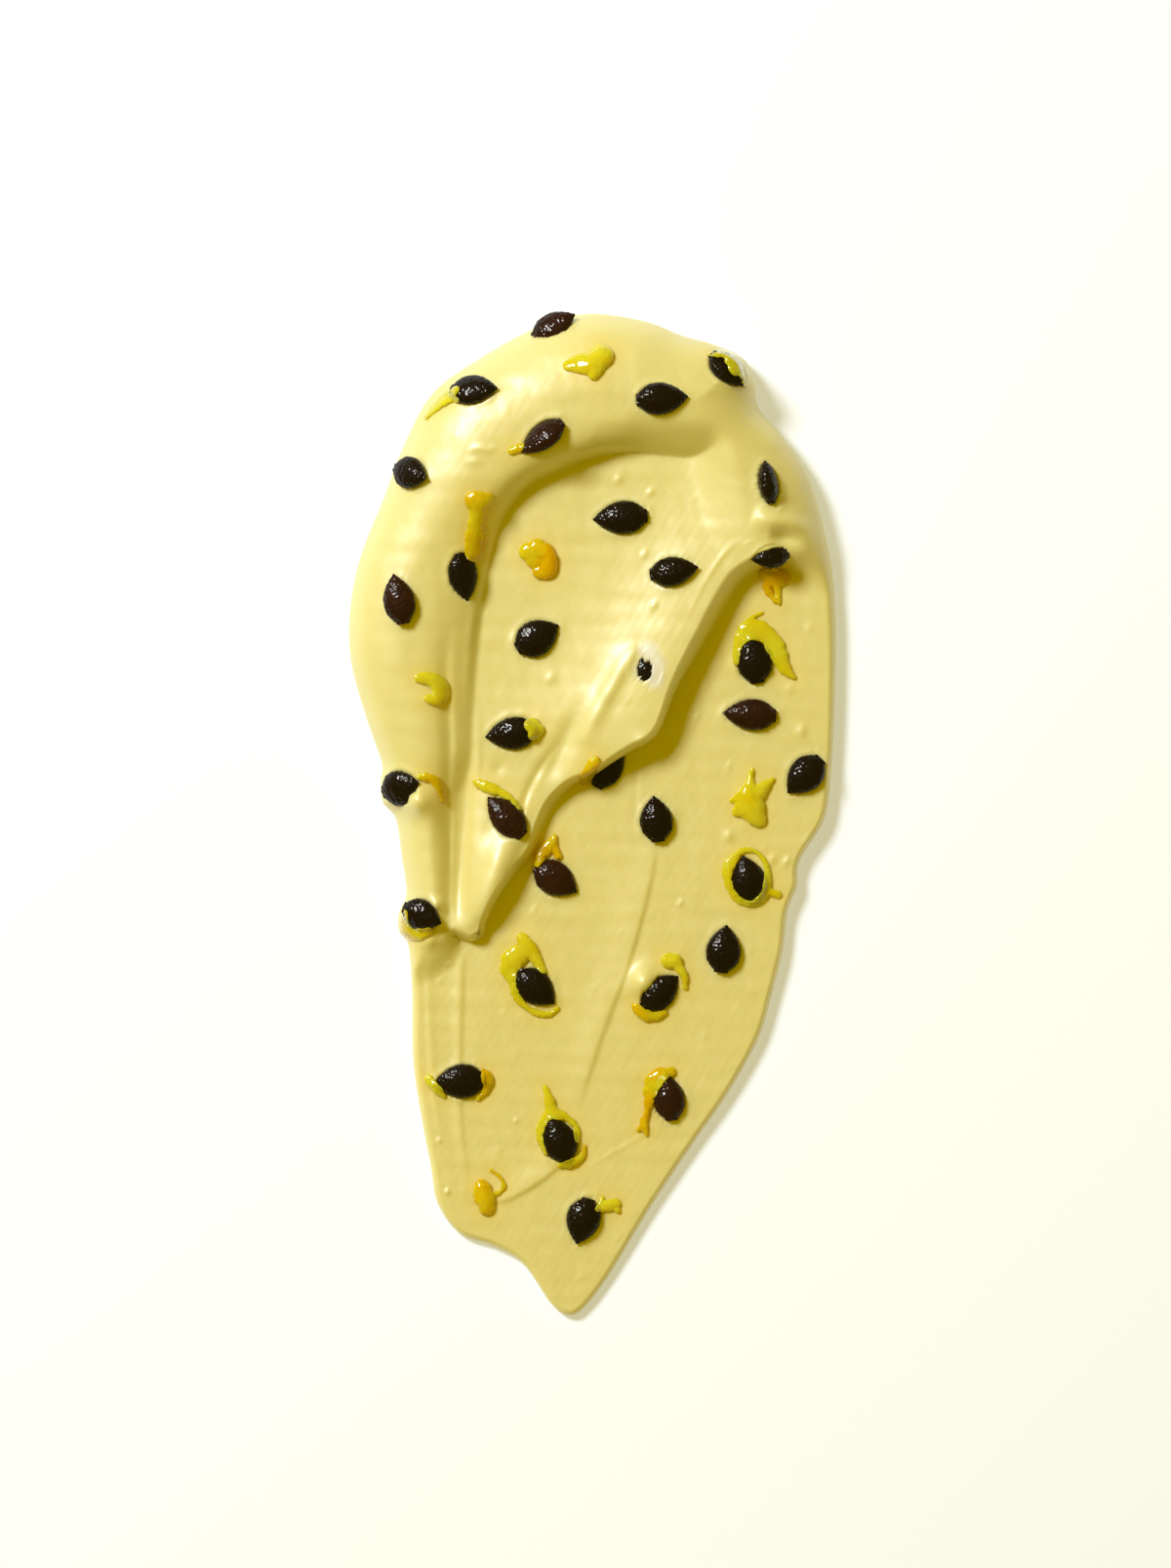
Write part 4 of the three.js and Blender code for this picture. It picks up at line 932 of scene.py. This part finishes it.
def melted(node, beads):
    """The points, normals and faces of one soft skin round a scrap's beads."""
    bm = bmesh.new()
    for x, y, radius, half_height in beads:
        lift = Matrix.Translation((x, y, PULP_LIFT * half_height))
        place = lift @ Matrix.Diagonal((radius, radius, half_height, 1))
        bmesh.ops.create_icosphere(bm, subdivisions=BEAD_DETAIL, radius=1, matrix=place)
    mesh = bpy.data.meshes.new(node + "_raw")
    bm.to_mesh(mesh)
    bm.free()
    raw = bpy.data.objects.new(node + "_raw", mesh)
    bpy.context.scene.collection.objects.link(raw)
    melt = raw.modifiers.new("melt", "REMESH")
    melt.mode = "VOXEL"
    melt.voxel_size = VOXEL
    soft = raw.modifiers.new("soft", "SMOOTH")
    soft.iterations = SOFTENING_ROUNDS
    done = raw.evaluated_get(bpy.context.evaluated_depsgraph_get()).to_mesh()
    points = np.array([v.co for v in done.vertices])
    normals = np.array([v.normal for v in done.vertices])
    faces = [list(p.vertices) for p in done.polygons]
    bpy.data.objects.remove(raw)
    return points, normals, faces


def support(trees, x, y):
    """The height of what carries the pulp at a place, evened out over a few rays."""
    total = 0
    for dx, dy in DRAPE_RAYS:
        start = (x + DRAPE_REACH * dx, y + DRAPE_REACH * dy, DRAPE_FROM)
        hits = (tree.ray_cast(start, (0, 0, -1))[0] for tree in trees)
        total += max((hit.z for hit in hits if hit is not None), default=0)
    return total / len(DRAPE_RAYS)


def make_pulp(node, beads, carriers, material):
    """One scrap: its beads melted into one skin, made uneven and laid over what is under it."""
    points, normals, faces = melted(node, beads)
    growth = PULP_GROWTH + PULP_NOISE * noise(points, PULP_NOISE_SIZE, pulp_strands)
    points = points + normals * growth[:, None]
    low, high = points[:, :2].min(0), points[:, :2].max(0)
    near = [tree for tree, start, end in carriers if (start[:2] < high).all() and (end[:2] > low).all()]
    points[:, 2] += [support(near, x, y) for x, y, _ in points]
    make_mesh(node + "_fine", points, faces, material, node)


def new_node(tree, kind, inputs):
    """A node with its inputs set by name."""
    node = tree.nodes.new(kind)
    for key, value in inputs.items():
        node.inputs[key].default_value = value
    return node


def shader(name, sockets):
    """A material, its nodes and its Principled shader, with the shader's own sockets set by name."""
    material = bpy.data.materials.new(name)
    material.use_nodes = True
    bsdf = material.node_tree.nodes["Principled BSDF"]
    for key, value in sockets.items():
        bsdf.inputs[key].default_value = value
    return material, material.node_tree, bsdf


def texture(tree, kind, inputs, output):
    """What a texture gives over the object's own places."""
    node = new_node(tree, kind, inputs)
    where = tree.nodes.new("ShaderNodeTexCoord")
    tree.links.new(where.outputs["Object"], node.inputs["Vector"])
    return node.outputs[output]


def stored(tree, name):
    """What the mesh stores under a name."""
    node = tree.nodes.new("ShaderNodeAttribute")
    node.attribute_name = name
    return node.outputs["Fac"]


def mixed(tree, share, first, second):
    """Two colours mixed by a share, where the first may come from another node."""
    mix = tree.nodes.new("ShaderNodeMix")
    mix.data_type = "RGBA"
    tree.links.new(share, mix.inputs["Factor"])
    if isinstance(first, bpy.types.NodeSocket):
        tree.links.new(first, mix.inputs[FIRST_COLOUR])
    else:
        mix.inputs[FIRST_COLOUR].default_value = (*first, 1)
    mix.inputs[SECOND_COLOUR].default_value = (*second, 1)
    return mix.outputs[MIXED_COLOUR]


def add_bump(tree, bsdf, height, inputs):
    bump = new_node(tree, "ShaderNodeBump", inputs)
    tree.links.new(height, bump.inputs["Height"])
    tree.links.new(bump.outputs["Normal"], bsdf.inputs["Normal"])


def cream_material():
    """Soft satin cream, tinted by juice near the pulp and whitish where it is only a film."""
    material, tree, bsdf = shader("cream", CREAM_SOCKETS)
    clouds = texture(tree, "ShaderNodeTexNoise", CREAM_CLOUDS, "Fac")
    tone = mixed(tree, clouds, *CREAM_COLOURS)
    tone = mixed(tree, stored(tree, "juice"), tone, JUICE_COLOUR)
    tone = mixed(tree, stored(tree, "film"), tone, FILM_COLOUR)
    tree.links.new(tone, bsdf.inputs["Base Color"])
    add_bump(tree, bsdf, texture(tree, "ShaderNodeTexNoise", CREAM_GRAIN, "Fac"), CREAM_BUMP)
    return material


def seed_material(name, colours):
    """A dark, wet seed coat with a fine grain of cells between its pits."""
    material, tree, bsdf = shader(name, SEED_SOCKETS)
    clouds = texture(tree, "ShaderNodeTexNoise", SEED_CLOUDS, "Fac")
    tree.links.new(mixed(tree, clouds, *colours), bsdf.inputs["Base Color"])
    add_bump(tree, bsdf, texture(tree, "ShaderNodeTexVoronoi", SEED_CELLS, "Distance"), SEED_BUMP)
    return material


def pulp_material(name, colours):
    """Clear wet gel that shines from within."""
    material, tree, bsdf = shader(name, PULP_SOCKETS)
    clouds = texture(tree, "ShaderNodeTexNoise", PULP_CLOUDS, "Fac")
    contrast = new_node(tree, "ShaderNodeMapRange", PULP_CONTRAST)
    tree.links.new(clouds, contrast.inputs["Value"])
    tree.links.new(mixed(tree, contrast.outputs["Result"], *colours), bsdf.inputs["Base Color"])
    add_bump(tree, bsdf, texture(tree, "ShaderNodeTexNoise", PULP_GRAIN, "Fac"), PULP_BUMP)
    return material


def make_floor():
    bm = bmesh.new()
    bmesh.ops.create_grid(bm, x_segments=1, y_segments=1, size=FLOOR_SIZE)
    mesh = bpy.data.meshes.new("floor")
    bm.to_mesh(mesh)
    bm.free()
    material, _, _ = shader("floor", FLOOR_SOCKETS)
    mesh.materials.append(material)
    floor = bpy.data.objects.new("floor", mesh)
    floor.location.z = -FLOOR_DROP * METRES
    bpy.context.scene.collection.objects.link(floor)


def make_key_light():
    lamp = bpy.data.lights.new("key", "AREA")
    lamp.size = KEY_SIZE
    lamp.energy = KEY_WATTS
    light = bpy.data.objects.new("key", lamp)
    light.location = KEY_PLACE
    light.rotation_mode = "QUATERNION"
    light.rotation_quaternion = (-Vector(KEY_PLACE)).to_track_quat("-Z", "Y")
    bpy.context.scene.collection.objects.link(light)


def make_round_light():
    world = bpy.data.worlds.new("studio")
    world.use_nodes = True
    background = world.node_tree.nodes["Background"]
    background.inputs["Color"].default_value = ROUND_LIGHT
    background.inputs["Strength"].default_value = ROUND_STRENGTH
    bpy.context.scene.world = world
    bpy.context.scene.view_settings.view_transform = "Standard"


def make_camera():
    data = bpy.data.cameras.new("camera")
    data.sensor_width = SENSOR
    data.lens = SENSOR * (CAMERA_DISTANCE - SUBJECT_HEIGHT) / VIEW_HEIGHT
    data.clip_end = CAMERA_SEES_TO * METRES
    camera = bpy.data.objects.new("camera", data)
    camera.location = (VIEW_CENTRE[0] * METRES, VIEW_CENTRE[1] * METRES, CAMERA_DISTANCE * METRES)
    bpy.context.scene.collection.objects.link(camera)
    bpy.context.scene.camera = camera


make_camera()
make_floor()
make_key_light()
make_round_light()

black = seed_material("seed_black", BLACK_COLOURS)
brown = seed_material("seed_brown", BROWN_COLOURS)
seed_nodes = sorted(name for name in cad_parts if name.startswith("seed_"))
seeds = [make_seed(node, brown if node in BROWN_SEEDS else black) for node in seed_nodes]

cream_tree = make_cream(cream_material(), seeds)
everywhere = (np.full(2, -np.inf), np.full(2, np.inf))
carriers = [(cream_tree, *everywhere), *seeds]

yellow = pulp_material("pulp_yellow", YELLOW_COLOURS)
amber = pulp_material("pulp_amber", AMBER_COLOURS)
for node, beads in pulp_beads.items():
    make_pulp(node, beads, carriers, amber if node in AMBER_PULP else yellow)
